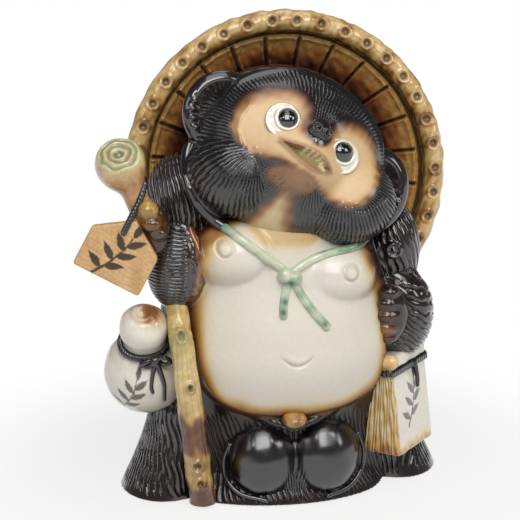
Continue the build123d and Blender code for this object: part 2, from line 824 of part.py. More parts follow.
with BuildPart() as neck_cord_knot:
    with Locations(short_tail_place):
        Box(cord_width, 2 * cord_width, tail_length)
    with Locations(long_tail_place):
        Box(cord_width, 2 * cord_width, long_tail_length)
    add(chest_skin.part, mode=Mode.INTERSECT)
    add(ellipsoid(knot_half_width, knot_half_height, knot_half_height, knot_place))
    for carrier in cord_carriers:
        add(carrier.part, mode=Mode.SUBTRACT)
neck_cord_knot.part.label = "neck_cord_knot"
export_step(neck_cord_knot.part, "parts/neck_cord_knot.step")

with BuildPart() as neck_cord:
    with Locations(right_strand_place, left_strand_place):
        Box(strand_length, chest_front, cord_width)
    add(chest_skin.part, mode=Mode.INTERSECT)
    for carrier in cord_carriers + (neck_cord_knot, right_forearm):
        add(carrier.part, mode=Mode.SUBTRACT)
neck_cord.part.label = "neck_cord"
export_step(neck_cord.part, "parts/neck_cord.step")
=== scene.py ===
"""Glazed ceramic tanuki figure with a straw hat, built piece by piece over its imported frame."""

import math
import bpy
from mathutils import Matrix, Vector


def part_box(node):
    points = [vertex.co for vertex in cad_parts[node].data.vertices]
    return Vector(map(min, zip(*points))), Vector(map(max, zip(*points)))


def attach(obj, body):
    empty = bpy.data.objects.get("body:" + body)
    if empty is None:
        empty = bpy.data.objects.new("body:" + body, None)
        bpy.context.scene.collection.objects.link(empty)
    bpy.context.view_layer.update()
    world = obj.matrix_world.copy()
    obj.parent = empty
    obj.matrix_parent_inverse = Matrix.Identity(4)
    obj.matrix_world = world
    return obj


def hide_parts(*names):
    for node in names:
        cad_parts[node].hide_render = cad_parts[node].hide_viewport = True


bl_info = {
    "name": "Tanuki figure",
    "version": (1, 0, 0),
    "blender": (4, 5, 0),
    "location": "View3D > Sidebar > Tanuki",
    "description": "Builds a glazed ceramic tanuki figure and the studio it stands in",
    "category": "Object",
}

import bpy
import numpy as np
from mathutils import Vector

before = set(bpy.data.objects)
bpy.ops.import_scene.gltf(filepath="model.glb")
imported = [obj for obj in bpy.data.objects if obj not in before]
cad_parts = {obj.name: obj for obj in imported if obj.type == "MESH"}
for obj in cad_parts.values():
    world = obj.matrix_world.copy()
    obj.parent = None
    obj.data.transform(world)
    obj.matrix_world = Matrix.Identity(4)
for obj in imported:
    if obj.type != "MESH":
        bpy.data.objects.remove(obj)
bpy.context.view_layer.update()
# Metres in a millimetre, the full turn that comb phases count by, and the points sampled at once
MM = 0.001
FULL_TURN = 6.283
BLOCK = 300000


# Clay forms, all in millimetres: a form is a distance, below zero inside the clay
def turn(axis, degrees):
    """Rotation matrix about a main axis."""
    c = math.cos(math.radians(degrees))
    s = math.sin(math.radians(degrees))
    if axis == "X":
        return np.array([[1, 0, 0], [0, c, -s], [0, s, c]])
    if axis == "Y":
        return np.array([[c, 0, s], [0, 1, 0], [-s, 0, c]])
    return np.array([[c, -s, 0], [s, c, 0], [0, 0, 1]])


def ease(start, end, value):
    """0 at start, 1 at end, smooth in between."""
    t = np.clip((value - start) / (end - start), 0, 1)
    return t * t * (3 - 2 * t)


def bell(value, width):
    """Soft hump: 1 at value 0, fading over the width."""
    return np.exp(-((value / width) ** 2))


def melt(a, b, soft):
    """Union of two forms with a fillet."""
    h = np.maximum(soft - np.abs(a - b), 0) / soft
    return np.minimum(a, b) - h * h * soft / 4


def trim(a, b, soft):
    """Overlap of two forms with a rounded edge."""
    return -melt(-a, -b, soft)


def egg(p, centre, radii):
    """Ellipsoid."""
    q = (p - np.asarray(centre, float)) / np.asarray(radii, float)
    near = np.sqrt((q * q).sum(1))
    slope = np.sqrt(((q / np.asarray(radii, float)) ** 2).sum(1))
    return near * (near - 1) / np.maximum(slope, 1e-6)


def oval(u, v, half_u, half_v):
    """Flat ellipse in two coordinates; the half sizes may be arrays."""
    near = np.sqrt((u / half_u) ** 2 + (v / half_v) ** 2)
    slope = np.sqrt((u / half_u**2) ** 2 + (v / half_v**2) ** 2)
    return near * (near - 1) / np.maximum(slope, 1e-6)


def rod(p, points, radii):
    """Round rod along points, with a radius at each."""
    best = None
    points = [np.asarray(point, float) for point in points]
    for a, b, ra, rb in zip(points, points[1:], radii, radii[1:]):
        ab = b - a
        t = np.clip(((p - a) @ ab) / (ab @ ab), 0, 1)
        gap = np.sqrt(((p - a - t[:, None] * ab) ** 2).sum(1)) - (ra + (rb - ra) * t)
        best = gap if best is None else np.minimum(best, gap)
    return best


def bend(points, count=8):
    """Points of a smooth line through a few places."""
    points = np.asarray(points, float)
    ends = np.vstack([2 * points[0] - points[1], points, 2 * points[-1] - points[-2]])
    line = []
    for a, b, c, d in zip(ends, ends[1:], ends[2:], ends[3:]):
        for t in np.linspace(0, 1, count, endpoint=False):
            square = (2 * a - 5 * b + 4 * c - d) * t**2
            cube = (3 * b - a - 3 * c + d) * t**3
            line.append(0.5 * (2 * b + (c - a) * t + square + cube))
    line.append(points[-1])
    return np.array(line)


def flat_line(u, v, points):
    """Distance to a line of points on a flat sheet, and how far along it from 0 to 1."""
    best = np.full(u.shape, 1e9)
    along = np.zeros(u.shape)
    last = len(points) - 1
    for i, ((au, av), (bu, bv)) in enumerate(zip(points, points[1:])):
        du, dv = bu - au, bv - av
        t = np.clip(((u - au) * du + (v - av) * dv) / (du * du + dv * dv), 0, 1)
        gap = np.hypot(u - au - t * du, v - av - t * dv)
        along = np.where(gap < best, (i + t) / last, along)
        best = np.minimum(best, gap)
    return best, along


def chart(outline, pitch=0.5, margin=40.0):
    """Distance outside a closed outline on a flat sheet, kept as a fine table and looked up."""
    ring = bend(list(outline) + [outline[0]], 4)
    low = ring.min(0) - margin
    count = np.ceil((ring.max(0) + margin - low) / pitch).astype(int)
    axes = [low[i] + pitch * np.arange(count[i]) for i in (0, 1)]
    u, v = (axis.ravel() for axis in np.meshgrid(*axes, indexing="ij"))
    gap, _ = flat_line(u, v, ring)
    inside = np.zeros(u.shape, bool)
    for (au, av), (bu, bv) in zip(ring, ring[1:]):
        if av != bv:
            inside ^= ((av > v) != (bv > v)) & (u < au + (v - av) / (bv - av) * (bu - au))
    values = np.where(inside, -gap, gap).reshape(count)

    def look(a, b):
        i = np.clip((a - low[0]) / pitch, 0, count[0] - 1.001)
        j = np.clip((b - low[1]) / pitch, 0, count[1] - 1.001)
        m, n = i.astype(int), j.astype(int)
        s, t = i - m, j - n
        near = values[m, n] * (1 - t) + values[m, n + 1] * t
        return near * (1 - s) + (values[m + 1, n] * (1 - t) + values[m + 1, n + 1] * t) * s

    return look


def table(stations, sizes):
    """Smooth curve through sizes at stations, looked up by height."""
    s = np.asarray(stations, float)
    y = np.asarray(sizes, float)
    slope = np.gradient(y, s)
    fine = np.linspace(s[0], s[-1], 240)
    i = np.clip(np.searchsorted(s, fine) - 1, 0, len(s) - 2)
    h = s[i + 1] - s[i]
    t = (fine - s[i]) / h
    value = (
        (2 * t**3 - 3 * t**2 + 1) * y[i]
        + (t**3 - 2 * t**2 + t) * h * slope[i]
        + (3 * t**2 - 2 * t**3) * y[i + 1]
        + (t**3 - t**2) * h * slope[i + 1]
    )
    return lambda z: np.interp(z, fine, value)


def ripple(p, size, seed):
    """Hand-made unevenness between about -1 and 1, size mm across."""
    rng = np.random.default_rng(seed)
    out = 0
    for _ in range(5):
        d = rng.normal(size=p.shape[1])
        d *= 2 * math.pi / np.linalg.norm(d) / size / (0.7 + 0.6 * rng.random())
        out = out + np.sin(p @ d + rng.random() * 6.28)
    return out / 3.2


def comb(phase):
    """Comb strokes one phase apart: 0 on the round ridges, 1 in the narrow valleys."""
    return 1 - np.abs(np.cos(np.pi * phase))


def sample(form, points):
    """Values of a form, taken a block at a time."""
    if len(points) == 0:
        return np.zeros(0)
    return np.concatenate([form(points[i : i + BLOCK]) for i in range(0, len(points), BLOCK)])


def slope_of(form, points, reach):
    """Gradient of a form."""
    corners = np.array([[1, -1, -1], [-1, -1, 1], [-1, 1, -1], [1, 1, 1]], float)
    total = np.zeros_like(points)
    for corner in corners:
        total += corner * sample(form, points + corner * reach)[:, None]
    return total / (4 * reach)


def skin(form, low, high, step):
    """Points, quads and normals of a form's surface within a box."""
    low = np.asarray(low, float) - 3 * step
    blocks = np.ceil((np.asarray(high, float) + 3 * step - low) / (4 * step)).astype(int)
    axes = [low[i] + 4 * step * np.arange(blocks[i] + 1) for i in range(3)]
    grid = np.stack(np.meshgrid(*axes, indexing="ij"), -1).reshape(-1, 3)
    coarse = sample(form, grid).reshape(blocks + 1)
    pick = [(np.arange(4 * b + 1) + 2) // 4 for b in blocks]
    values = coarse[np.ix_(*pick)]
    near = np.abs(values) < 8 * step
    values[near] = sample(form, low + step * np.argwhere(near))
    inside = values < 0
    count = np.zeros(np.array(values.shape) - 1, np.int8)
    offsets = [(i, j, k) for i in (0, 1) for j in (0, 1) for k in (0, 1)]
    nx, ny, nz = count.shape
    for i, j, k in offsets:
        count += inside[i : i + nx, j : j + ny, k : k + nz]
    active = (count > 0) & (count < 8)
    ids = np.full(count.shape, -1, np.int32)
    ids[active] = np.arange(active.sum())
    cell = np.argwhere(active)
    corner = {o: values[cell[:, 0] + o[0], cell[:, 1] + o[1], cell[:, 2] + o[2]] for o in offsets}
    middle = np.zeros((len(cell), 3))
    crossings = np.zeros(len(cell))
    for a in offsets:
        for axis in range(3):
            if a[axis]:
                continue
            b = tuple(1 if i == axis else a[i] for i in range(3))
            va, vb = corner[a], corner[b]
            crossed = (va < 0) != (vb < 0)
            t = np.where(crossed, va / np.where(crossed, va - vb, 1), 0)
            spot = np.tile(np.array(a, float), (len(cell), 1))
            spot[:, axis] += t
            middle += spot * crossed[:, None]
            crossings += crossed
    points = low + step * (cell + middle / crossings[:, None])
    quads = []
    for axis in range(3):
        b, c = (axis + 1) % 3, (axis + 2) % 3
        here = [slice(None)] * 3
        there = [slice(None)] * 3
        here[axis], there[axis] = slice(0, -1), slice(1, None)
        for other in (b, c):
            here[other] = there[other] = slice(1, -1)
        start = inside[tuple(here)]
        edge = np.argwhere(start != inside[tuple(there)])
        outward = start[tuple(edge.T)]
        edge[:, b] += 1
        edge[:, c] += 1
        ring = []
        for db, dc in ((1, 1), (0, 1), (0, 0), (1, 0)):
            spot = edge.copy()
            spot[:, b] -= db
            spot[:, c] -= dc
            ring.append(ids[tuple(spot.T)])
        ring = np.stack(ring, 1)
        ring[~outward] = ring[~outward][:, ::-1]
        quads.append(ring)
    quads = np.concatenate(quads)
    for _ in range(2):
        g = slope_of(form, points, 0.2 * step)
        move = (sample(form, points) / np.maximum((g * g).sum(1), 0.2))[:, None] * g
        size = np.sqrt((move * move).sum(1))
        points = points - move * np.minimum(1, 0.6 * step / np.maximum(size, 1e-9))[:, None]
    normals = slope_of(form, points, 0.2 * step)
    normals /= np.maximum(np.sqrt((normals * normals).sum(1)), 1e-9)[:, None]
    return points, quads, normals


def node_box(node):
    """A node's box in millimetres."""
    return tuple(np.array(corner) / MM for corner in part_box(node))


def even(tone):
    """Paint of one even tone."""
    return lambda p: {"tone": tone}


def cloudy(base, sway, size, seed):
    """Paint of one uneven tone."""
    return lambda p: {"tone": base + sway * ripple(p, size, seed)}


def fire(node, form, paint, material, step=None, grow=3.0, reach=None):
    """Makes the mesh piece that stands for a CAD node: its form, its painted tones and its glaze."""
    low, high = node_box(node)
    if reach is not None:
        low, high = np.minimum(low, reach[0]), np.maximum(high, reach[1])
    step = step or bpy.context.scene.tanuki_sizes.mesh_step / MM
    points, quads, normals = skin(form, low - grow, high + grow, step)
    if len(quads) == 0:
        raise RuntimeError(f"{node} has no surface")
    mesh = bpy.data.meshes.new(node + "_piece")
    mesh.vertices.add(len(points))
    mesh.vertices.foreach_set("co", (points * MM).astype(np.float32).ravel())
    mesh.loops.add(4 * len(quads))
    mesh.loops.foreach_set("vertex_index", quads.astype(np.int32).ravel())
    mesh.polygons.add(len(quads))
    mesh.polygons.foreach_set("loop_start", np.arange(0, 4 * len(quads), 4, dtype=np.int32))
    mesh.update(calc_edges=True)
    mesh.shade_smooth()
    mesh.normals_split_custom_set_from_vertices(normals.astype(np.float32))
    tones = paint(points)
    for name in ("tone", "groove", "mark", "wash"):
        layer = mesh.attributes.new(name, "FLOAT", "POINT")
        value = np.broadcast_to(np.asarray(tones.get(name, 0.0), float), (len(points),))
        layer.data.foreach_set("value", value.astype(np.float32))
    mesh.materials.append(material)
    piece = bpy.data.objects.new(node + "_piece", mesh)
    bpy.context.scene.collection.objects.link(piece)
    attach(piece, "root")
    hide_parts(node)


# Places and sizes of the figure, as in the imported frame
HEAD_AT = np.array([3.0, -20, 214])
HEAD_TURN = turn("Y", 24) @ turn("X", -12)
RIGHT_RUFF = np.array([-29.5, -38, 207])
LEFT_RUFF = np.array([37.5, -38, 188])
RUFF_RADII = (31.5, 28.5, 27.5)
EARS = {"right_ear": (-48.0, 8.5, 25.5), "left_ear": (57.0, -1.5, 28.0)}
EYES = {"right_eye": (-17.6, 15.0, (2.0, 1.4)), "left_eye": (23.8, 8.8, (-0.8, 1.9))}
NOSE_AT = np.array([3.8, -47.5, 17.0])
KNOTS = ((-66, 113, 3.0), (-61.5, 82, 2.2), (-57.5, 31, 3.2), (-55.5, 19, 2.6))
HAT_AT = np.array([9.0, 14, 195.5])
HAT_TURN = turn("X", 82)
COIL_RADIUS = 94.7
NIPPLES = ((-39, 165.5), (38, 148))
COWL = [(-24, -56, 62), (-10, -60, 55), (3, -62, 51), (16, -60, 55), (30, -54, 61)]
STRAP = [
    (-38, -49.5, 176.5), (-44, -47.5, 180.5), (-50, -48.5, 186.5), (-55, -49, 193), (-58.5, -47.5, 200.5),
    (-60, -43, 207), (-59.8, -38, 213), (-58.5, -33.5, 220), (-54.5, -28.5, 229), (-48, -22, 237),
]
ARM_LINE = [(-58, 176), (-55, 168.5), (-53, 158), (-53.6, 148), (-56.5, 136)]
BREASTS = ((-30, -35, 157.5), (30, -35, 142.5))
BREAST_RADII = (28.5, 27.8, 22.5)
ARMS = {
    "right_shoulder": ((-62, -20, 184), (22, 24, 33)),
    "right_forearm": ((-66, -37, 151), (19, 19, 28)),
    "left_shoulder": ((72, -7, 149), (19, 23, 31)),
    "left_forearm": ((77, -21, 111), (21, 20, 29)),
}
LEGS = {"right_leg": ((-74, -12), (-63, -12)), "left_leg": ((80, 9), (69, 9))}
SKIRT = ((-2, -20, -6), (70, 44, 33))
EYE_BED = (64, 44, 54)
DISH_RADIUS = 130.97
DISH_OUTER_RISE = 86.97
DISH_INNER_RISE = 93.97
TORSO_SEAM = 6.0
SHELL_LAP = 0.4
SEAM_LAP = 0.5
FACE_LINE = [
    (-29.7, 31.6), (-18.6, 35.4), (-9.1, 34.8), (-3.2, 28.8), (-2.3, 22.1), (-4.5, 15.5), (-3, 11.5), (1, 10),
    (6, 10.5), (10.5, 12.5), (11.4, 16.1), (15.3, 25.4), (22.7, 29.7), (31.7, 30.7), (40.7, 27.8), (48, 19.3),
    (50.5, 6.2), (48.5, -6.5), (41.3, -16), (31.9, -18), (24.7, -17), (13.6, -12.4), (7.7, -9.9), (0.5, -9.3),
    (-6, -8), (-11.2, -6.5), (-18.1, -7.7), (-26.9, -8.8), (-35.5, -5.9), (-41.5, -1.1), (-43.5, 7.6),
    (-41.5, 18.2), (-37.2, 26),
]
BELLY_LINE = [
    (-46, 174), (-51.5, 166), (-53.5, 151), (-56, 130), (-56.5, 112), (-55, 95), (-50.5, 78), (-42, 69),
    (-27, 62.5), (-11, 60.5), (5, 60), (23, 61.5), (41, 65), (55, 71), (62, 83), (63.5, 100), (62.5, 118),
    (59, 134), (53.5, 151), (51, 163), (46, 173), (30, 182), (14, 188), (5, 205), (1, 210), (-9, 201),
    (-18, 191), (-30, 184),
]
face_chart = chart(FACE_LINE)
belly_chart = chart(BELLY_LINE)
TORSO_HEIGHTS = (5, 45, 95, 140, 172, 198)
torso_width = table(TORSO_HEIGHTS, (74, 73, 75, 68, 54, 34))
torso_front = table(TORSO_HEIGHTS, (51, 59, 73, 61, 52, 44))
torso_back = table(TORSO_HEIGHTS, (50, 52, 51, 47, 42, 30))


def to_head(p):
    """The head's own axes: x to the figure's left, y to its back, z to its crown."""
    return (p - HEAD_AT) @ HEAD_TURN


def torso_core(p):
    """Torso without chest or arms."""
    z = np.clip(p[:, 2], TORSO_HEIGHTS[0], TORSO_HEIGHTS[-1])
    front, back = torso_front(z), torso_back(z)
    wall = oval(p[:, 0], p[:, 1] - (back - front) / 2, torso_width(z), (back + front) / 2)
    return trim(wall, p[:, 2] - 199, 6)


def chest(p):
    """Torso with the breasts, nipples, navel, belly hem and the fur skirt under it."""
    x, z = p[:, 0], p[:, 2]
    form = torso_core(p)
    for centre in BREASTS:
        form = melt(form, egg(p, centre, BREAST_RADII), 2.5)
    facing = ease(-10, -30, p[:, 1])
    for at_x, at_z in NIPPLES:
        r = np.hypot(x - at_x, z - at_z)
        form = form - facing * (1.8 * ease(4.6, 2.4, r) - 0.6 * bell(r - 5.2, 0.9))
    curl = z - 94 - 0.055 * (x - 3.5) ** 2
    reach = np.exp(-(((x - 3.5) / 8.5) ** 4))
    form = form + facing * reach * (1.5 * bell(curl, 1.2) - 0.8 * bell(curl - 3.2, 2.2))
    form = form + facing * 3.6 * ease(-1.0, 4.5, belly_chart(x, z)) * ease(118, 95, z)
    cowl = rod(p, COWL, (1.5, 2.4, 2.8, 2.4, 1.5))
    form = melt(form, cowl, 4)
    return melt(form, egg(p, *SKIRT), 8)


def leg(p, foot, knee):
    """Leg that flares down to its foot."""
    t = np.clip(p[:, 2] / 65, 0, 1)
    flare = (1 - t) ** 1.6
    x = p[:, 0] - (knee[0] + (foot[0] - knee[0]) * flare)
    y = p[:, 1] - (knee[1] + (foot[1] - knee[1]) * flare)
    wall = oval(x, y, 17 + 10 * flare, 26 + 9 * flare)
    form = trim(wall, p[:, 2] - 66, 12)
    return np.maximum(form, 0.3 - p[:, 2])


def body_parts(p):
    """Every form of the body that melts into its neighbours."""
    return {
        "torso": chest(p),
        **{name: egg(p, *lump) for name, lump in ARMS.items()},
        **{name: leg(p, *places) for name, places in LEGS.items()},
    }


def body_form(p, own, texture=None):
    """The part of the body that belongs to one piece, cut from the melted whole."""
    parts = body_parts(p)
    whole = None
    for form in parts.values():
        whole = form if whole is None else melt(whole, form, 4)
    if texture is not None:
        whole = whole + texture(p)
    rest = np.min([form for name, form in parts.items() if name != own], axis=0)
    return np.maximum(whole, parts[own] - rest - SEAM_LAP)


def belly_edge(p):
    """Distance outside the pale belly, chest and throat, seen from the front."""
    edge = belly_chart(p[:, 0], p[:, 2])
    return np.where(p[:, 1] > -6, np.maximum(edge, (p[:, 1] + 6) * 1.2), edge)


def belly_paint(p):
    """Cream that turns amber and brown at its edge, and amber down from the throat."""
    edge = belly_edge(p) + 1.4 * ripple(p, 17, 3)
    ring = sum(bell(np.hypot(p[:, 0] - x, p[:, 2] - z) - 5.0, 1.0) for x, z in NIPPLES)
    funnel = np.interp(p[:, 2], (150, 175), (5, 30))
    warm = 0.53 * ease(150, 168, p[:, 2]) * ease(6, -8, np.abs(p[:, 0] - 2) - funnel)
    return {"tone": np.maximum(ease(-20, 9, edge) * 0.999, warm), "groove": 0.5 * ease(0.2, 1, ring)}


def arm_ridge(p):
    """Raised contour line where the right forearm meets the belly."""
    gap, _ = flat_line(p[:, 0], p[:, 2], ARM_LINE)
    return 2.0 * bell(gap, 2.1) * ease(-25, -38, p[:, 1])


def fur_strokes(phase, depth, p, seed):
    """Comb strokes whose depth varies as a hand-drawn stroke does."""
    strokes = comb(phase + 0.18 * ripple(p, 9, seed + 1)) ** 1.5
    return depth * (0.75 + 0.25 * ripple(p, 14, seed)) * strokes


# Face and head
def face_edge(q):
    """Distance outside the tan face patches, on the face seen square on."""
    return face_chart(q[:, 0], q[:, 2])


def throat_edge(p):
    """Distance outside the pale throat between the ruffs, seen from the front."""
    x, z = p[:, 0], p[:, 2]
    left = np.interp(z, (150, 183, 190, 200, 211), (-52, -23.5, -18, -8.5, 1))
    right = np.interp(z, (150, 165, 177, 189, 211), (40, 8, 2.5, 2, 3))
    return np.maximum(np.maximum(left - x, x - right) * 0.75, z - 211)


def mouth_lens(q):
    """Along and across the open mouth, and distance outside its outline."""
    c, s = math.cos(MOUTH_TILT), math.sin(MOUTH_TILT)
    u = (q[:, 0] - 1.5) * c + (q[:, 2] + 0.6) * s
    v = -(q[:, 0] - 1.5) * s + (q[:, 2] + 0.6) * c
    bow = np.clip(1 - (u / MOUTH_HALF) ** 2, -1, 1)
    lean = np.clip(0.82 + 0.02 * u, 0.5, 1.2)
    upper = v - (4.6 * bow * lean + 0.6)
    lower = -v - (4.6 * bow * lean - 0.6)
    return u, v, np.maximum(np.maximum(upper, lower), np.abs(u) - MOUTH_HALF)


def skull(q):
    """Head, snout, nose bridge and chin."""
    form = egg(q, *SKULL)
    for centre, radii, soft in SNOUT:
        form = melt(form, egg(q, centre, radii), soft)
    return form


SKULL = ((1.5, 0, 0), (62.5, 44, 54))
SNOUT = (
    ((1, -31, -5), (24, 25, 19), 12),
    ((4, -35, 10), (10.5, 15, 10.5), 9),
    ((2, -40, -13), (12, 13, 8), 6),
)
MOUTH_TILT = math.radians(-10)
MOUTH_HALF = 16.5
TEETH = [(-3.0, 2.6), (0.6, 3.0), (4.0, 3.0), (7.2, 2.4), (10.0, 1.2), (12.2, -0.3)]
WHISKER_DOTS = [
    (-27, -6), (-24, -9), (-31.5, -8.0), (34, -17), (38, -15), (37, -19.5), (41, -18), (42.5, -14.5),
]
CHEEK_CREASES = [
    [(-38, 17), (-40.5, 9), (-40, 1), (-35, -7)],
    [(59, -5), (54, -11), (50, -18), (44, -20)],
]


def face_relief(q):
    """Mouth, lips, teeth, whisker dots and cheek creases, as clay added to the head."""
    u, v, lens = mouth_lens(q)
    front = ease(-20, -30, q[:, 1])
    relief = -5.0 * ease(0.5, -2.4, lens) + 1.3 * bell(lens - 1.2, 1.3)
    for tu, tv in TEETH:
        relief = relief + 2.6 * np.exp(-(((u - tu) / 1.25) ** 2) - ((v - tv) / 1.7) ** 2)
    for cx, cz in WHISKER_DOTS:
        relief = relief + 0.55 * np.exp(-(((q[:, 0] - cx) ** 2 + (q[:, 2] - cz) ** 2) / 0.9))
    for crease in CHEEK_CREASES:
        gap, _ = flat_line(q[:, 0], q[:, 2], crease)
        relief = relief + bell(gap, 1.3)
    return relief * front


def head_form(p, own):
    """The crown or one ruff with its comb strokes, cut from the melted head."""
    q = to_head(p)
    parts = {
        "crown": skull(q),
        "right": egg(p, RIGHT_RUFF, RUFF_RADII),
        "left": egg(p, LEFT_RUFF, RUFF_RADII),
    }
    whole = melt(melt(parts["crown"], parts["right"], 3.5), parts["left"], 3.5)
    x, z = q[:, 0], q[:, 2]
    if own == "crown":
        phase = 124 / FULL_TURN * np.arctan2(z - 3, 0.8 * x - 2)
        rim = ease(2, 12, z) * ease(56, 48, np.abs(x - 2))
        depth = 0.65 * (1 - rim * ease(-22, -18, q[:, 1]) * ease(8, 3, q[:, 1]))
        whole = whole - 1.7 * rim * bell(q[:, 1] + 18, 1.6)
    elif own == "right":
        r = np.hypot(x + 20, z + 8)
        phase = 58 / FULL_TURN * (np.arctan2(z + 8, -(x + 20)) + 0.018 * r)
        strap = rod(p, STRAP, np.linspace(3.6, 3.2, len(STRAP)))
        depth = 1.35 * ease(5, 13, r) * ease(0.5, 3, strap)
        whole = melt(whole, strap, 1.2)
    else:
        phase = 108 / FULL_TURN * np.arctan2(-(z - 6), x - 25)
        depth = 1.3
    bare = np.minimum(face_edge(q), throat_edge(p) + 1)
    fur = ease(0.5, 5.5, np.where(q[:, 1] < -4, bare, 9.0))
    whole = whole + fur * fur_strokes(phase, depth, p, 11) - face_relief(q)
    rest = np.min([form for name, form in parts.items() if name != own], axis=0)
    return np.maximum(whole, parts[own] - rest - SEAM_LAP)


def face_paint(p):
    """Tan patches, black fur, brown chin, pale throat, and the open mouth with its teeth."""
    q = to_head(p)
    edge = face_edge(q) + 0.8 * ripple(p, 6, 21)
    soft = -6.0 - 9.0 * ease(8, 26, q[:, 2])
    tone = np.clip((edge - soft) / (3.5 - soft), 0, 1) ** 1.25
    tone = np.maximum(tone, ease(5.0, -1.5, np.hypot(q[:, 0] - 4.5, q[:, 2] - 17) - 7.5))
    tone = np.where(q[:, 1] > -6, 1.0, tone)
    neck = throat_edge(p) + 0.9 * ripple(p, 8, 22)
    tone = np.where(q[:, 2] < -15, np.minimum(tone, 0.3 + 0.7 * ease(-7, 3.5, neck)), tone)
    u, v, lens = mouth_lens(q)
    front = ease(-25, -34, q[:, 1])
    lips = bell(lens - 0.6, 1.5) * front
    jaw = ease(4, -4, oval(q[:, 0] + 1, q[:, 2] + 16, 16.0, 8.0)) * front
    tone = tone + jaw * np.minimum(0.58 - tone, 0)
    amber = bell(neck + 2.5, 3.0) * ease(-17, -21, q[:, 2]) * ease(6, 1, neck)
    teeth = sum(np.exp(-(((u - tu) / 1.3) ** 2) - ((v - tv) / 1.8) ** 2) for tu, tv in TEETH)
    throat = 0.7 * ease(-3, -9, neck) * ease(-18, -26, q[:, 2])
    return {
        "tone": tone,
        "groove": np.maximum(lips * 0.8, amber * 0.3),
        "mark": ease(0.2, -1.6, lens) * front,
        "wash": np.maximum(np.clip(teeth * 1.3, 0, 1) * front, throat),
    }


# Glaze materials
def ink(red, green, blue):
    """A colour as written on a paint chart, turned to light values."""
    values = [c / 255 for c in (red, green, blue)]
    return tuple(c / 12.92 if c <= 0.04045 else ((c + 0.055) / 1.055) ** 2.4 for c in values)


def shades(*rows):
    """Ramp stops from rows of a place and a paint chart colour."""
    return [(at, ink(*colour)) for at, *colour in rows]


def glaze(
    name, stops, groove, mark, wash=None, rough=0.14, coat=0.3, mottle=0.06, speck=0.15, grain=60.0,
    bump=0.02, ior=1.5, matte=0.0,
):
    """Node material: a ramp along the painted tone, pooled glaze, marks, mottling and a wavy gloss."""
    material = bpy.data.materials.get(name)
    if material is not None:
        return material
    material = bpy.data.materials.new(name)
    material.use_nodes = True
    nodes, links = material.node_tree.nodes, material.node_tree.links
    shader = nodes["Principled BSDF"]
    shader.inputs["Coat Weight"].default_value = coat
    shader.inputs["Coat Roughness"].default_value = 0.05
    shader.inputs["IOR"].default_value = ior

    def layer(attribute):
        node = nodes.new("ShaderNodeAttribute")
        node.attribute_name = attribute
        return node.outputs["Fac"]

    def noise(scale, detail):
        node = nodes.new("ShaderNodeTexNoise")
        node.inputs["Scale"].default_value = scale
        node.inputs["Detail"].default_value = detail
        links.new(place.outputs["Object"], node.inputs["Vector"])
        return node.outputs["Fac"]

    def math_node(kind, a, b):
        node = nodes.new("ShaderNodeMath")
        node.operation = kind
        for socket, value in zip(node.inputs, (a, b)):
            if isinstance(value, float):
                socket.default_value = value
            else:
                links.new(value, socket)
        return node.outputs[0]

    def blend(kind, factor, a, b):
        node = nodes.new("ShaderNodeMix")
        node.data_type = "RGBA"
        node.blend_type = kind
        for socket, value in ((node.inputs[0], factor), (node.inputs[6], a), (node.inputs[7], b)):
            if isinstance(value, float):
                socket.default_value = value
            elif isinstance(value, tuple):
                socket.default_value = (*value, 1)
            else:
                links.new(value, socket)
        return node.outputs[2]

    place = nodes.new("ShaderNodeTexCoord")
    cloud = noise(grain, 5.0)
    drift = math_node("MULTIPLY", math_node("SUBTRACT", cloud, 0.5), 2 * mottle)
    ramp = nodes.new("ShaderNodeValToRGB")
    ramp.color_ramp.interpolation = "B_SPLINE" if len(stops) > 3 else "LINEAR"
    while len(ramp.color_ramp.elements) < len(stops):
        ramp.color_ramp.elements.new(0.5)
    for element, (at, colour) in zip(ramp.color_ramp.elements, stops):
        element.position = at
        element.color = (*colour, 1)
    links.new(math_node("ADD", layer("tone"), drift), ramp.inputs["Fac"])
    colour = blend("MIX", layer("groove"), ramp.outputs["Color"], groove)
    colour = blend("MIX", layer("mark"), colour, mark)
    if wash is not None:
        colour = blend("MIX", layer("wash"), colour, wash)
    flecks = nodes.new("ShaderNodeValToRGB")
    flecks.color_ramp.elements[0].position = 0.35
    flecks.color_ramp.elements[0].color = (0.45, 0.40, 0.36, 1)
    flecks.color_ramp.elements[1].position = 0.62
    flecks.color_ramp.elements[1].color = (1.0, 1.0, 1.0, 1)
    links.new(noise(grain * 7, 3.0), flecks.inputs["Fac"])
    colour = blend("MULTIPLY", speck, colour, flecks.outputs["Color"])
    links.new(colour, shader.inputs["Base Color"])
    gloss = nodes.new("ShaderNodeMapRange")
    gloss.inputs["To Min"].default_value = max(rough - 0.06, 0.03)
    gloss.inputs["To Max"].default_value = rough + 0.08
    links.new(noise(grain * 1.7, 2.0), gloss.inputs["Value"])
    dull = math_node("MULTIPLY", math_node("SUBTRACT", 1.0, layer("tone")), matte)
    links.new(math_node("ADD", gloss.outputs[0], dull), shader.inputs["Roughness"])
    wave = nodes.new("ShaderNodeBump")
    wave.inputs["Strength"].default_value = 0.35
    wave.inputs["Distance"].default_value = bump * MM
    links.new(noise(grain * 4, 4.0), wave.inputs["Height"])
    links.new(wave.outputs["Normal"], shader.inputs["Normal"])
    return material


BLACK = ink(24, 22, 22)
SOOT = ink(12, 11, 11)
BROWN = ink(72, 40, 22)
AMBER = ink(160, 100, 40)


def fur_material():
    c = bpy.context.scene.tanuki_colours
    fur, amber = tuple(c.fur), tuple(c.amber)
    stops = [(0.0, fur), (0.42, ink(44, 27, 18)), (0.7, ink(105, 58, 24)), (1.0, amber)]
    return glaze(
        "fur_glaze_finish", stops, SOOT, amber, rough=0.15, coat=0.9, mottle=0.08, grain=90.0, ior=1.6
    )


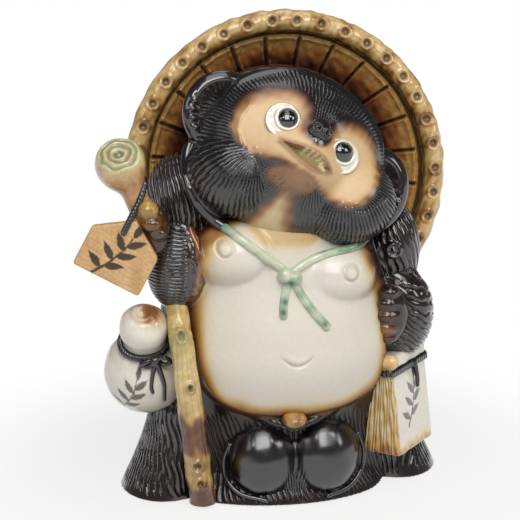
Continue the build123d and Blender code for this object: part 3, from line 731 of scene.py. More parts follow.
def face_material():
    c = bpy.context.scene.tanuki_colours
    stops = [
        (0.0, tuple(c.face)),
        (0.30, ink(206, 166, 112)),
        (0.55, ink(150, 100, 56)),
        (0.76, ink(62, 38, 26)),
        (0.95, tuple(c.fur)),
    ]
    return glaze(
        "face_glaze_finish", stops, ink(128, 78, 36), ink(146, 130, 76), ink(226, 212, 168),
        rough=0.14, coat=0.0, mottle=0.03, speck=0.08, ior=1.8, matte=0.42,
    )


def belly_material():
    c = bpy.context.scene.tanuki_colours
    stops = [
        (0.0, tuple(c.belly)),
        (0.38, ink(226, 216, 196)),
        (0.55, ink(212, 178, 108)),
        (0.70, ink(150, 92, 34)),
        (0.84, ink(62, 36, 20)),
        (1.0, BLACK),
    ]
    groove = ink(206, 190, 160)
    return glaze("cream_glaze_finish", stops, groove, AMBER, rough=0.22, coat=0.2, mottle=0.04, speck=0.06)


def black_material():
    stops = shades((0.0, 16, 14, 15), (1.0, 34, 28, 26))
    return glaze("black_glaze_finish", stops, SOOT, AMBER, rough=0.13, coat=0.8, mottle=0.3)


# Sizes and colours that a user would change
class TanukiSizes(bpy.types.PropertyGroup):
    mesh_step: bpy.props.FloatProperty(
        name="Mesh step",
        description="Distance between neighbouring points of the clay surface",
        default=0.0008,
        min=0.0004,
        max=0.004,
        unit="LENGTH",
        precision=5,
    )
    comb_pitch: bpy.props.FloatProperty(
        name="Comb pitch",
        description="Distance between comb strokes on the body",
        default=0.0032,
        min=0.0015,
        max=0.01,
        unit="LENGTH",
        precision=5,
    )
    rim_dimples: bpy.props.IntProperty(
        name="Rim dimples", description="Pressed dimples round the hat rim", default=38, min=8, max=80
    )
    dish_panels: bpy.props.IntProperty(
        name="Hat panels", description="Straw panels round the inside of the hat", default=24, min=6, max=60
    )


def colour_setting(name, description, default):
    return bpy.props.FloatVectorProperty(
        name=name, description=description, default=default, size=3, min=0, max=1, subtype="COLOR"
    )


class TanukiColours(bpy.types.PropertyGroup):
    fur: colour_setting("Fur", "Black glaze of the fur", BLACK)
    belly: colour_setting("Belly", "Cream glaze of the belly", ink(226, 219, 206))
    face: colour_setting("Face", "Tan of the face patches", ink(216, 184, 138))
    amber: colour_setting("Amber", "Amber where the glaze runs thin", AMBER)
    straw: colour_setting("Straw", "Ochre of the hat rim", ink(204, 166, 104))
    cord: colour_setting("Cord", "Green glaze of the neck cord", ink(158, 182, 152))


class TanukiStudio(bpy.types.PropertyGroup):
    azimuth: bpy.props.FloatProperty(
        name="Azimuth", description="Camera angle round the figure", default=math.radians(-8), subtype="ANGLE"
    )
    elevation: bpy.props.FloatProperty(
        name="Elevation", description="Camera angle above the horizon", default=math.radians(15),
        subtype="ANGLE",
    )
    distance: bpy.props.FloatProperty(
        name="Distance", description="Camera distance from the figure", default=1.3, min=0.3, unit="LENGTH"
    )
    lens: bpy.props.FloatProperty(
        name="Lens", description="Focal length of the camera in millimetres", default=142.85, min=20, max=400
    )
    key_power: bpy.props.FloatProperty(
        name="Key light", description="Power of the large soft lamp", default=11.8, min=0, unit="POWER"
    )
    floor: colour_setting("Floor", "Colour of the floor", (0.72, 0.72, 0.72))


class TANUKI_OT_base(bpy.types.Operator):
    """Bare clay slab under the figure"""

    bl_idname = "tanuki.base"
    bl_label = "Base slab"

    def execute(self, context):
        def form(p):
            foot = np.column_stack([p[:, 0], p[:, 1], np.full(len(p), 1.0)])
            plan = np.minimum(leg(foot, *LEGS["right_leg"]), leg(foot, *LEGS["left_leg"]))
            plan = np.minimum(plan, egg(foot, *SKIRT))
            plan = np.minimum(plan, oval(p[:, 0], p[:, 1], 74.0, 51.0)) + 2.6
            slab = trim(plan + 0.2 * ripple(p, 20, 4), np.abs(p[:, 2] - 2.5) - 2.5, 0.8)
            return np.maximum(slab, 8 - np.hypot(p[:, 0], p[:, 1] - 26))

        stops = shades((0.0, 186, 158, 126), (1.0, 214, 192, 164))
        material = glaze("bare_clay_finish", stops, BROWN, BROWN, rough=0.7, coat=0.0, speck=0.5, bump=0.2)
        fire("base_slab", form, cloudy(0.5, 0.5, 12, 5), material, step=1.0, grow=1.0)
        return {"FINISHED"}


class TANUKI_OT_torso(bpy.types.Operator):
    """Front and back shells of the torso"""

    bl_idname = "tanuki.torso"
    bl_label = "Torso"

    def execute(self, context):
        pitch = context.scene.tanuki_sizes.comb_pitch / MM

        def strokes(p):
            low = ease(60, 48, p[:, 2])
            sides = ease(8, 14, belly_edge(p)) * np.where(p[:, 1] > -25, 1.0, low)
            fur = np.maximum(sides, low * ease(-25, -35, p[:, 1]))
            phase = (np.arctan2(p[:, 0], -(p[:, 1] - 10)) * 60 + 0.25 * p[:, 2]) / pitch
            return fur * fur_strokes(phase, 1.2, p, 31) - arm_ridge(p)

        def front(p):
            cut = np.maximum(p[:, 1] - TORSO_SEAM - SHELL_LAP, 1.2 - p[:, 2])
            return np.maximum(body_form(p, "torso", strokes), cut)

        def back(p):
            cut = np.maximum(TORSO_SEAM - SHELL_LAP - p[:, 1], 1.2 - p[:, 2])
            return np.maximum(body_form(p, "torso", strokes), cut)

        fire("torso_front_shell", front, belly_paint, belly_material())
        fire("torso_back_shell", back, cloudy(0.12, 0.12, 22, 6), fur_material(), step=1.0)
        return {"FINISHED"}


class TANUKI_OT_legs(bpy.types.Operator):
    """Flared legs with their feet"""

    bl_idname = "tanuki.legs"
    bl_label = "Legs"

    def execute(self, context):
        for node, at in (("right_leg", (-70, -12)), ("left_leg", (76, 9))):

            def strokes(p, at=at):
                round_leg = 46 / FULL_TURN * np.arctan2(p[:, 0] - at[0], -(p[:, 1] - at[1]))
                phase = round_leg + 0.02 * p[:, 2] + 0.45 * ripple(p, 24, 40)
                return ease(3, 9, p[:, 2]) * fur_strokes(phase, 1.5, p, 41)

            def form(p, node=node, strokes=strokes):
                return np.maximum(body_form(p, node, strokes), 1.0 - p[:, 2])

            def paint(p):
                return {"tone": 0.1 + 0.14 * ripple(p, 18, 8) + 0.4 * ease(2.4, 0.8, p[:, 2])}

            fire(node, form, paint, fur_material())
        return {"FINISHED"}


class TANUKI_OT_bag(bpy.types.Operator):
    """Twin bag and the nub above it"""

    bl_idname = "tanuki.bag"
    bl_label = "Bag and nub"

    def execute(self, context):
        lobe_radii = (23.2, 24.5, 26.5)
        rings = (
            bend([(-36, -50, 38), (-39.5, -51, 28), (-38, -53, 17), (-30, -58, 8.5), (-14, -62, 4.5)], 5),
            bend([(46, -46, 40), (49.5, -47, 29), (47.5, -49, 17), (39, -55, 8.5), (25, -60, 5)], 5),
        )

        def form(p):
            lobes = melt(egg(p, (-14.5, -44, 27.5), lobe_radii), egg(p, (23.5, -44, 28.5), lobe_radii), 3)
            tuft = ease(9, 3, np.abs(p[:, 0] - 4.5)) * ease(30, 10, p[:, 2])
            brush = (p[:, 0] - 4.5) * (1 + 0.03 * np.clip(26 - p[:, 2], 0, 30))
            form = lobes + tuft * fur_strokes(brush / 2.2, 1.0, p, 51) + 0.2 * ripple(p, 15, 52)
            brushed = egg(p, (4.5, -52, 10), (9, 8, 13)) + tuft * fur_strokes(brush / 2.2, 1.2, p, 51)
            form = melt(form, brushed, 4)
            for ring in rings:
                form = melt(form, rod(p, ring, [1.4] * len(ring)), 1.2)
            return np.maximum(form, 3.0 - p[:, 2])

        stops = [(0.0, SOOT), (0.42, ink(26, 17, 15)), (1.0, ink(80, 46, 28))]
        material = glaze(
            "bag_glaze_finish", stops, SOOT, BROWN, rough=0.22, coat=0.0, mottle=0.1, grain=90.0, ior=1.9
        )
        fire("money_bag", form, cloudy(0.2, 0.12, 16, 9), material, step=0.7)

        def nub(p):
            bump = egg(p, (2.6, -64, 57.6), (8.2, 7.0, 4.8))
            return melt(bump, egg(p, (2.6, -69, 56.6), (5.4, 3.0, 2.6)), 2) + 0.15 * ripple(p, 6, 53)

        def nub_paint(p):
            return {"tone": 0.75 + 0.3 * ripple(p, 9, 1) - 0.7 * ease(5, 8, np.abs(p[:, 0] - 2.6))}

        stops = shades((0.0, 70, 44, 24), (0.5, 142, 98, 48), (1.0, 196, 158, 98))
        material = glaze("amber_glaze_finish", stops, BROWN, BROWN, rough=0.16, mottle=0.2, speck=0.3)
        fire("belly_nub", nub, nub_paint, material, step=0.5)
        return {"FINISHED"}


class TANUKI_OT_tail(bpy.types.Operator):
    """Tail on the back"""

    bl_idname = "tanuki.tail"
    bl_label = "Tail"

    def execute(self, context):
        def form(p):
            tail = melt(egg(p, (0, 48.6, 41), (24, 17, 36)), egg(p, (0, 54, 16), (17, 11, 11)), 6)
            phase = (p[:, 0] * (1 + 0.004 * p[:, 2])) / 3.4
            return np.maximum(tail + fur_strokes(phase, 1.4, p, 61), 4.7 - p[:, 2])

        def paint(p):
            return {"tone": 0.15 + 0.3 * ease(40, 10, p[:, 2])}

        fire("tail", form, paint, fur_material(), step=0.9)
        return {"FINISHED"}


class TANUKI_OT_head(bpy.types.Operator):
    """Front and back shells of the head"""

    bl_idname = "tanuki.head"
    bl_label = "Head"

    def execute(self, context):
        def front(p):
            return np.maximum(head_form(p, "crown"), to_head(p)[:, 1] - SHELL_LAP)

        def back(p):
            return np.maximum(head_form(p, "crown"), -SHELL_LAP - to_head(p)[:, 1])

        fire("head_front_shell", front, face_paint, face_material(), step=0.6)
        fire("head_back_shell", back, cloudy(0.1, 0.1, 20, 2), fur_material(), step=1.0)
        return {"FINISHED"}


class TANUKI_OT_ears(bpy.types.Operator):
    """Bowl ears with ribs inside the rim"""

    bl_idname = "tanuki.ears"
    bl_label = "Ears"

    def execute(self, context):
        for node, (ear_x, ear_z, tall) in EARS.items():

            def form(p, ear_x=ear_x, ear_z=ear_z, tall=tall):
                q = (to_head(p) - np.array([ear_x, -8, ear_z])) * np.array([0.97, 1, 23 / tall])
                r = np.hypot(q[:, 0], q[:, 2])
                angle = np.arctan2(q[:, 2], q[:, 0])
                ear = egg(q, (0, 0, 0), (23, 8, 23))
                dish = egg(q, (0, -9.5, 0), (20, 9.5, 20))
                ear = trim(ear, -dish, 1.6)
                ribs = np.cos(angle * 22 + 0.8 * ripple(p, 9, 23)) * bell(r - 16.5, 2.4)
                ribs = ribs * ease(-1, -3, q[:, 1])
                return ear - 0.8 * ribs * ease(0.4, -0.2, np.sin(angle))

            fire(node, form, cloudy(0.06, 0.1, 12, 3), fur_material(), step=0.6, grow=9.0)
        return {"FINISHED"}


class TANUKI_OT_ruffs(bpy.types.Operator):
    """Combed cheek ruffs"""

    bl_idname = "tanuki.ruffs"
    bl_label = "Cheek ruffs"

    def execute(self, context):
        for side in ("right", "left"):

            def form(p, side=side):
                return head_form(p, side)

            fire(side + "_cheek_ruff", form, face_paint, face_material(), step=0.6)
        return {"FINISHED"}


class TANUKI_OT_eyes(bpy.types.Operator):
    """Domed eyes with a raised rim and a round pupil"""

    bl_idname = "tanuki.eyes"
    bl_label = "Eyes"

    def execute(self, context):
        stops = shades((0.0, 250, 246, 236), (0.45, 236, 224, 196), (1.0, 206, 180, 134))
        material = glaze(
            "eye_glaze_finish", stops, ink(60, 44, 30), ink(9, 9, 11),
            rough=0.12, coat=0.5, mottle=0.02, speck=0.03, ior=1.9,
        )
        wide, deep, tall = EYE_BED
        for node, (x, z, look) in EYES.items():
            y = -deep * math.sqrt(1 - (x / wide) ** 2 - (z / tall) ** 2)
            out = np.array([x / wide**2, y / deep**2, z / tall**2])
            out /= np.linalg.norm(out)
            up = np.array([0, 0, 1.0]) - out * out[2]
            up /= np.linalg.norm(up)
            axes = np.stack([np.cross(up, out), up, out], 1)
            axes[:, 0] *= np.sign(axes[0, 0])

            def own(p, x=x, y=y, z=z, axes=axes, look=look):
                e = (to_head(p) - np.array([x, y, z])) @ axes * np.array([0.9 if x > 0 else 1.0, 1, 1])
                return e, np.hypot(e[:, 0], e[:, 1]), np.hypot(e[:, 0] - look[0], e[:, 1] - look[1])

            def form(p, own=own, look=look):
                e, r, rp = own(p)
                ball = egg(e, (0, 0, -2.5), (10.3, 10.3, 6.0))
                ring = np.hypot(r - 9.9, e[:, 2] - 0.4) - 1.1
                pupil = egg(e, (*look, 1.2), (6.0, 6.0, 4.4))
                collar = np.hypot(rp - 6.8, e[:, 2] - 2.7) - 0.75
                form = melt(melt(ball, ring, 0.8), collar, 0.7)
                return np.minimum(form, pupil)

            def paint(p, own=own):
                _, r, rp = own(p)
                line = bell(rp - 7.9, 0.35) * 0.5 + bell(r - 11.0, 0.5) * 0.6
                tone = ease(8.6, 10.2, r) * 0.6 + 0.35 * bell(rp - 6.8, 0.8)
                return {"tone": tone, "groove": line, "mark": ease(6.15, 5.75, rp)}

            fire(node, form, paint, material, step=0.4, grow=7.0)
        return {"FINISHED"}


class TANUKI_OT_nose(bpy.types.Operator):
    """Black nose with ringed nostrils"""

    bl_idname = "tanuki.nose"
    bl_label = "Nose"

    def execute(self, context):
        def form(p):
            q = to_head(p) - NOSE_AT
            nose = melt(egg(q, (0, 0, 0), (7.6, 6.0, 6.4)), egg(q, (0.5, 4, 3.5), (5.2, 5, 5)), 4)
            for at_x, at_z in ((-3.4, 1.4), (4.2, 0.4)):
                r = np.hypot(q[:, 0] - at_x, q[:, 2] - at_z)
                rim = bell(r - 2.5, 0.75) - 0.9 * bell(r, 1.2)
                nose = nose - ease(0, -3, q[:, 1]) * rim
            return nose

        fire("nose", form, cloudy(0.4, 0.3, 6, 1), black_material(), step=0.45, grow=9.0)
        return {"FINISHED"}


class TANUKI_OT_hat(bpy.types.Operator):
    """Straw hat: dish with radial panels, and the dimpled rim coil"""

    bl_idname = "tanuki.hat"
    bl_label = "Hat"

    def execute(self, context):
        dimples = context.scene.tanuki_sizes.rim_dimples
        panels = context.scene.tanuki_sizes.dish_panels
        straws = 96

        def own(p):
            q = (p - HAT_AT) @ HAT_TURN
            return q, np.hypot(q[:, 0], q[:, 1]), np.arctan2(q[:, 1], q[:, 0])

        def panel_parts(r, angle):
            turn_part = angle * panels / (2 * math.pi)
            across = np.abs(turn_part - np.round(turn_part)) * 2
            gap = ease(0.84, 0.985, across)
            field = ease(85.8, 84.2, r) * ease(40, 48, r)
            return across, gap, field

        def dish(p):
            q, r, angle = own(p)
            outer = np.sqrt(r**2 + (q[:, 2] - DISH_OUTER_RISE) ** 2) - DISH_RADIUS
            inner = DISH_RADIUS - np.sqrt(r**2 + (q[:, 2] - DISH_INNER_RISE) ** 2)
            across, gap, field = panel_parts(r, angle)
            lip = 0.9 * bell(r - 83.4, 1.2) + 0.5 * bell(across - 0.8, 0.09)
            inner = inner - field * (1.0 - 1.7 * gap + lip * (1 - gap) + 0.25 * ripple(p, 6, 71))
            weave = 0.35 * np.cos(angle * straws) * ease(20, 60, r) + 0.35 * np.cos(r * 2 * math.pi / 7)
            outer = outer - weave
            return np.maximum(trim(outer, inner, 1.0), r - COIL_RADIUS + 1.5)

        def dimple_gap(r, angle):
            near = np.round(angle * dimples / (2 * math.pi)) * 2 * math.pi / dimples
            return np.hypot((angle - near) * COIL_RADIUS, r - COIL_RADIUS - 0.3)

        def rim(p):
            q, r, angle = own(p)
            lobes = np.cos(angle * dimples)
            coil = oval(r - COIL_RADIUS + 0.25 * lobes, q[:, 2], 6.9, 7.0)
            coil = coil + 0.35 * ripple(p, 9, 72) + 0.2 * lobes * ease(2, -2, np.abs(r - COIL_RADIUS) - 4)
            spot = dimple_gap(r, angle)
            front = ease(2, 4, q[:, 2])
            return coil + front * (2.6 * ease(3.4, 0.6, spot) - 0.45 * bell(spot - 4.1, 1.0))

        def dish_paint(p):
            q, r, angle = own(p)
            _, gap, field = panel_parts(r, angle)
            bowl = DISH_INNER_RISE - np.sqrt(np.maximum(DISH_RADIUS**2 - r**2, 1))
            behind = q[:, 2] < np.where(r < 94, bowl, 0) - 3
            tone = 1 - ease(60, 86, r) + 0.12 * ripple(p, 7, 73)
            tone = np.where(behind, 0.30 + 0.15 * ripple(p, 12, 74) + 0.1 * np.cos(angle * straws), tone)
            groove = np.maximum(gap * field, ease(85.4, 86.6, r)) * 0.85
            return {"tone": np.clip(tone, 0, 1), "groove": np.where(behind, 0.0, groove)}

        def rim_paint(p):
            q, r, angle = own(p)
            spot = dimple_gap(r, angle)
            front = ease(1, 3, q[:, 2])
            groove = front * ease(3.3, 1.6, spot) * 0.8 + 0.75 * ease(89.6, 88.4, r)
            tone = 0.36 + 0.32 * ripple(p, 16, 75) + 0.2 * ripple(p, 5, 76) + 0.3 * ease(94, 89.5, r)
            tone = tone + 0.3 * bell(spot - 4.2, 1.2) * front
            return {"tone": np.clip(tone, 0, 1), "groove": np.clip(groove, 0, 1)}

        straw = tuple(context.scene.tanuki_colours.straw)
        stops = [(0.0, ink(226, 202, 148)), (0.5, straw), (0.8, ink(172, 126, 66)), (1.0, ink(122, 80, 38))]
        pooled = ink(64, 36, 20)
        material = glaze(
            "hat_rim_glaze_finish", stops, pooled, BROWN, rough=0.16, coat=0.6, mottle=0.16, speck=0.3
        )
        fire("hat_rim", rim, rim_paint, material, step=0.75)
        stops = shades(
            (0.0, 204, 158, 88), (0.25, 172, 116, 62), (0.5, 120, 68, 38), (0.78, 52, 32, 24),
            (1.0, 20, 17, 16),
        )
        pooled = ink(34, 19, 12)
        material = glaze(
            "hat_dish_glaze_finish", stops, pooled, BROWN, rough=0.22, coat=0.5, mottle=0.12, speck=0.4
        )
        fire("hat_dish", dish, dish_paint, material, step=0.9)
        return {"FINISHED"}


class TANUKI_OT_arms(bpy.types.Operator):
    """Shoulders and forearms with their combed fur"""

    bl_idname = "tanuki.arms"
    bl_label = "Arms"

    def execute(self, context):
        pitch = context.scene.tanuki_sizes.comb_pitch / MM

        def right_shoulder(p):
            bow = 0.36 * (p[:, 2] - 190) + 0.006 * (p[:, 2] - 205) ** 2
            across = 0.93 * p[:, 0] + bow - 0.25 * p[:, 1]
            return fur_strokes(across / 3.1, 1.7, p, 81)

        def right_forearm(p):
            lines = ease(-61, -64, p[:, 0] + 1.5 * ripple(p, 9, 82)) * ease(126, 132, p[:, 2])
            pits = 0.6 * ease(0.3, 0.9, ripple(p, 5, 83)) * (1 - lines)
            return lines * fur_strokes((p[:, 2] + 0.06 * p[:, 0]) / 2.3, 1.1, p, 82) + pits - arm_ridge(p)

        def left_shoulder(p):
            phase = (np.arctan2(p[:, 0] - 68, -(p[:, 1] - 5)) * 22 + 0.22 * p[:, 2]) / pitch
            r = np.hypot(p[:, 0] - 70, p[:, 2] - 153)
            coil = ease(-12, -20, p[:, 1]) * (bell(r - 4.2, 1.1) + bell(r, 1.4))
            return fur_strokes(phase, 1.6 * ease(3.5, 7, r), p, 84) - 1.2 * coil

        def left_forearm(p):
            phase = (0.75 * p[:, 2] + 0.5 * p[:, 0] + 2.2 * np.sin(p[:, 0] / 6 + p[:, 2] / 9)) / 3.6
            return fur_strokes(phase, 1.5, p, 85)

        plain = cloudy(0.08, 0.14, 15, 86)

        def forearm_paint(p):
            thin = 0.45 * ease(-64, -55, p[:, 0]) + 0.12 * ripple(p, 8, 87) * ease(-66, -60, p[:, 0])
            ridge = ease(0.5, 1.6, arm_ridge(p)) + 0.6 * ease(132, 125, p[:, 2])
            return {"tone": np.clip(0.06 + thin + 0.42 * ridge + 0.06 * ripple(p, 15, 86), 0, 1)}

        def cuff_paint(p):
            thin = ease(70, 60, p[:, 0])
            return {"tone": np.clip(0.08 + 0.5 * thin + 0.12 * ripple(p, 15, 88), 0, 1)}

        for node, texture, paint in (
            ("right_shoulder", right_shoulder, plain),
            ("right_forearm", right_forearm, forearm_paint),
            ("left_shoulder", left_shoulder, plain),
            ("left_forearm", left_forearm, cuff_paint),
        ):

            def form(p, node=node, texture=texture):
                return body_form(p, node, texture)

            fire(node, form, paint, fur_material(), step=0.55)
        return {"FINISHED"}


class TANUKI_OT_paws(bpy.types.Operator):
    """Paws with curled fingers"""

    bl_idname = "tanuki.paws"
    bl_label = "Paws"

    def execute(self, context):
        right_lumps = (
            ((-84.5, -55, 190), (6.2, 6, 5.6), 0.78),
            ((-82.0, -55.5, 182), (6.4, 6, 5.2), 0.42),
            ((-78.5, -53.5, 175.5), (5.8, 5.5, 4.6), 0.24),
            ((-78.0, -48.0, 179), (7.0, 7, 12), 0.1),
        )
        left_lumps = (
            ((65.0, -42, 130), (6.6, 6.5, 4.6), 0.04),
            ((64.0, -43.5, 123), (7.0, 6.5, 4.8), 0.14),
            ((63.5, -44, 115.5), (7.0, 6.5, 4.8), 0.2),
            ((63.5, -43.5, 108), (6.6, 6.5, 4.6), 0.5),
            ((65.0, -42, 101.5), (6.0, 6.0, 4.2), 0.26),
            ((68.0, -40, 115), (9.5, 8, 16), 0.05),
        )
        stops = [
            (0.0, BLACK),
            (0.35, ink(74, 40, 20)),
            (0.6, ink(150, 98, 40)),
            (0.85, ink(188, 158, 78)),
            (1.0, ink(206, 178, 104)),
        ]
        pooled = ink(40, 22, 14)
        material = glaze(
            "paw_glaze_finish", stops, pooled, BROWN, rough=0.15, coat=0.6, mottle=0.16, speck=0.3
        )
        for node, lumps in (("right_paw", right_lumps), ("left_paw", left_lumps)):

            def form(p, lumps=lumps):
                paw = None
                for centre, radii, _ in lumps:
                    lump = egg(p, centre, radii)
                    paw = lump if paw is None else melt(paw, lump, 2.2)
                return paw + 0.25 * ripple(p, 7, 90)

            def paint(p, lumps=lumps):
                weights = [np.exp(-egg(p, centre, radii) / 0.8) for centre, radii, _ in lumps]
                tone = sum(w * lump[2] for w, lump in zip(weights, lumps)) / np.maximum(sum(weights), 1e-9)
                return {"tone": np.clip(tone + 0.1 * ripple(p, 8, 91), 0, 1)}

            fire(node, form, paint, material, step=0.5, grow=8.0)
        return {"FINISHED"}


class TANUKI_OT_staff(bpy.types.Operator):
    """Knobbed staff in two lengths"""

    bl_idname = "tanuki.staff"
    bl_label = "Staff"

    def execute(self, context):
        path = bend([
            (-53, -53.5, 2), (-57, -60, 36), (-61.5, -62, 72), (-64.8, -57.5, 101), (-66, -51, 115),
            (-66.5, -42, 126), (-67, -36, 134),
        ])
        radii = np.interp(np.arange(len(path)), (0, len(path) - 1), (8.2, 6.8))

        def grain(p):
            side = np.arctan2(p[:, 0] + 62, -(p[:, 1] + 60))
            return comb(side * 2.2 + 0.03 * p[:, 2])

        def lower(p):
            form = rod(p, path, radii) + 0.3 * grain(p) + 0.6 * ripple(p, 20, 93)
            for x, z, size in KNOTS:
                r = np.hypot(p[:, 0] - x, (p[:, 2] - z) * 0.8)
                form = form - 1.5 * bell(r - size, 1.2) + 1.2 * bell(r, 1.5)
            return np.maximum(form, 2.4 - p[:, 2])

        def lower_paint(p):
            z = p[:, 2] + 3 * ripple(p, 12, 94)
            heights = (0, 14, 20, 36, 42, 58, 66, 90, 140)
            tone = np.interp(z, heights, (0.88, 0.82, 0.45, 0.45, 0.88, 0.86, 0.36, 0.22, 0.4))
            knots = sum(bell(np.hypot(p[:, 0] - x, (p[:, 2] - z0) * 0.8), 2.6) for x, z0, _ in KNOTS)
            green = bell(np.hypot(p[:, 0] + 65, p[:, 2] - 111), 8)
            green = green + 0.6 * ease(0.3, 0.9, ripple(p, 15, 92)) * ease(60, 70, z)
            return {
                "tone": np.clip(tone + 0.08 * ripple(p, 9, 89), 0, 1),
                "groove": np.clip(knots * 0.75 + 0.25 * grain(p) ** 3, 0, 1),
                "mark": np.clip(green, 0, 1) * 0.5,
            }

        stops = shades(
            (0.0, 236, 220, 172), (0.2, 226, 202, 142), (0.45, 196, 154, 80), (0.7, 140, 82, 40),
            (1.0, 66, 36, 26),
        )
        material = glaze(
            "staff_glaze_finish", stops, ink(54, 40, 24), ink(142, 146, 84),
            rough=0.16, coat=0.5, mottle=0.12, speck=0.25,
        )
        fire("staff_lower", lower, lower_paint, material, step=0.6, grow=5.0)

        knob = np.array([-99.5, -45, 216.3])
        cut = np.array([-0.15, -0.62, 0.77]) / np.linalg.norm([-0.15, -0.62, 0.77])
        grip = np.array([-79.0, -44, 168])
        ring_pitch = 4.2

        def end_face(p):
            face = (p - knob) @ cut
            off = p - knob - face[:, None] * cut
            return face, np.sqrt((off * off).sum(1)) + 0.7 * ripple(p, 9, 97)

        def upper(p):
            neck = rod(p, [grip, (-85, -46, 183), (-92, -46, 199), knob], (8.5, 7.4, 7.2, 9))
            ball = egg(p, knob, (15.6, 15.6, 15.6))
            face, r = end_face(p)
            form = trim(melt(neck, ball, 7), face - 9.5 - 0.5 * np.cos(r * 2 * math.pi / ring_pitch), 2.5)
            return form + 0.35 * ripple(p, 12, 96)

        def upper_paint(p):
            face, r = end_face(p)
            end = ease(6.4, 8.6, face)
            ring = 0.5 + 0.5 * np.cos(r * 2 * math.pi / ring_pitch)
            tone = 0.42 + 0.2 * ease(214, 192, p[:, 2]) + 0.16 * ripple(p, 15, 98) - 0.3 * end
            return {
                # Darker below the paw towards the grip: painted shade between the plaque and the forearm
                "tone": np.clip(tone + 0.6 * ease(184, 175, p[:, 2]), 0, 1),
                "mark": end * np.clip(0.15 + 0.7 * (1 - ring) + 0.25 * ease(5, 2, r), 0, 1),
                "groove": (1 - end) * 0.3 * ease(0.2, 1, ripple(p, 8, 99)),
            }

        stops = shades(
            (0.0, 232, 218, 172), (0.4, 212, 174, 116), (0.68, 188, 132, 76), (0.84, 140, 88, 46),
            (1.0, 46, 30, 24),
        )
        material = glaze(
            "knob_glaze_finish", stops, ink(136, 90, 46), ink(112, 126, 96),
            rough=0.18, coat=0.5, mottle=0.1, speck=0.25,
        )
        fire("staff_upper", upper, upper_paint, material, step=0.55)
        return {"FINISHED"}


def leaf(u, v, at_u, at_v, angle, length, width):
    """Distance outside a painted leaf whose stalk is at a place on a flat sheet."""
    c, s = math.cos(math.radians(angle)), math.sin(math.radians(angle))
    a = (u - at_u) * c + (v - at_v) * s
    b = -(u - at_u) * s + (v - at_v) * c
    t = np.clip(a / length, 0, 1)
    return np.maximum(np.abs(b) - width * np.sin(np.pi * t**0.8), np.maximum(-a, a - length))


STEM = [(-0.35, -0.55), (-0.12, -0.2), (0.05, 0.2), (0.12, 0.6)]
LEAVES = [
    (-0.24, -0.38, 150), (-0.2, -0.3, 20), (-0.08, -0.1, 140), (-0.03, 0.0, 28), (0.04, 0.18, 130),
    (0.07, 0.3, 38), (0.12, 0.55, 80),
]


def leaf_spray(u, v, size):
    """Brushed sprig: a bowed stem and its leaves."""
    stem, along = flat_line(u, v, [(at_u * size, at_v * size) for at_u, at_v in STEM])
    form = stem - (0.035 - 0.02 * along) * size
    for at_u, at_v, angle in LEAVES:
        form = np.minimum(form, leaf(u, v, at_u * size, at_v * size, angle, 0.46 * size, 0.085 * size))
    return form


class TANUKI_OT_plaque(bpy.types.Operator):
    """House-shaped plaque and its cord"""

    bl_idname = "tanuki.plaque"
    bl_label = "Plaque"

    def execute(self, context):
        axes = turn("Z", -8) @ turn("Y", 28) @ turn("X", 90)
        centre = np.array([-104.0, -52, 159])
        roof = math.atan2(22, 15)

        def grain(p, u, v):
            return comb((v + 1.6 * np.sin(u / 11) + 0.8 * ripple(p, 12, 104)) / 2.6)

        def form(p):
            u, v, w = ((p - centre) @ axes).T
            plan = trim(np.abs(u) - 22, -v - 13, 2)
            plan = trim(plan, np.abs(u) * math.cos(roof) + (v - 28) * math.sin(roof), 2)
            return trim(plan, np.abs(w) - 3 + (0.07 * grain(p, u, v) + 0.1 * ripple(p, 6, 101)), 1.4)

        def paint(p):
            u, v, w = ((p - centre) @ axes).T
            brush = leaf_spray(u, v - 3, 27) + 0.25 * ripple(p, 2.6, 102)
            return {
                "tone": 0.5 + 0.25 * ripple(p, 12, 103),
                "groove": 0.3 * grain(p, u, v) ** 4,
                "mark": ease(0.25, -0.25, brush) * ease(1.5, 2.3, w) * 0.92,
            }

        stops = shades((0.0, 230, 194, 144), (0.5, 218, 176, 122), (1.0, 196, 150, 98))
        material = glaze(
            "plaque_clay_finish", stops, ink(150, 104, 62), ink(22, 19, 18),
            rough=0.55, coat=0.0, mottle=0.1, speck=0.3, bump=0.08,
        )
        fire("plaque", form, paint, material, step=0.45)
        route = bend([
            (-99, -56, 177), (-94.5, -55.5, 186), (-89, -53.5, 196), (-85.8, -49.5, 204.5),
            (-86.8, -43.5, 207), (-91.5, -40.5, 206),
        ])

        def cord(p):
            return rod(p, route, [2.0] * len(route)) + 0.12 * np.cos((p[:, 2] + p[:, 0]) * 2.0)

        fire("plaque_cord", cord, even(0.5), black_material(), step=0.4, grow=11.0)
        return {"FINISHED"}


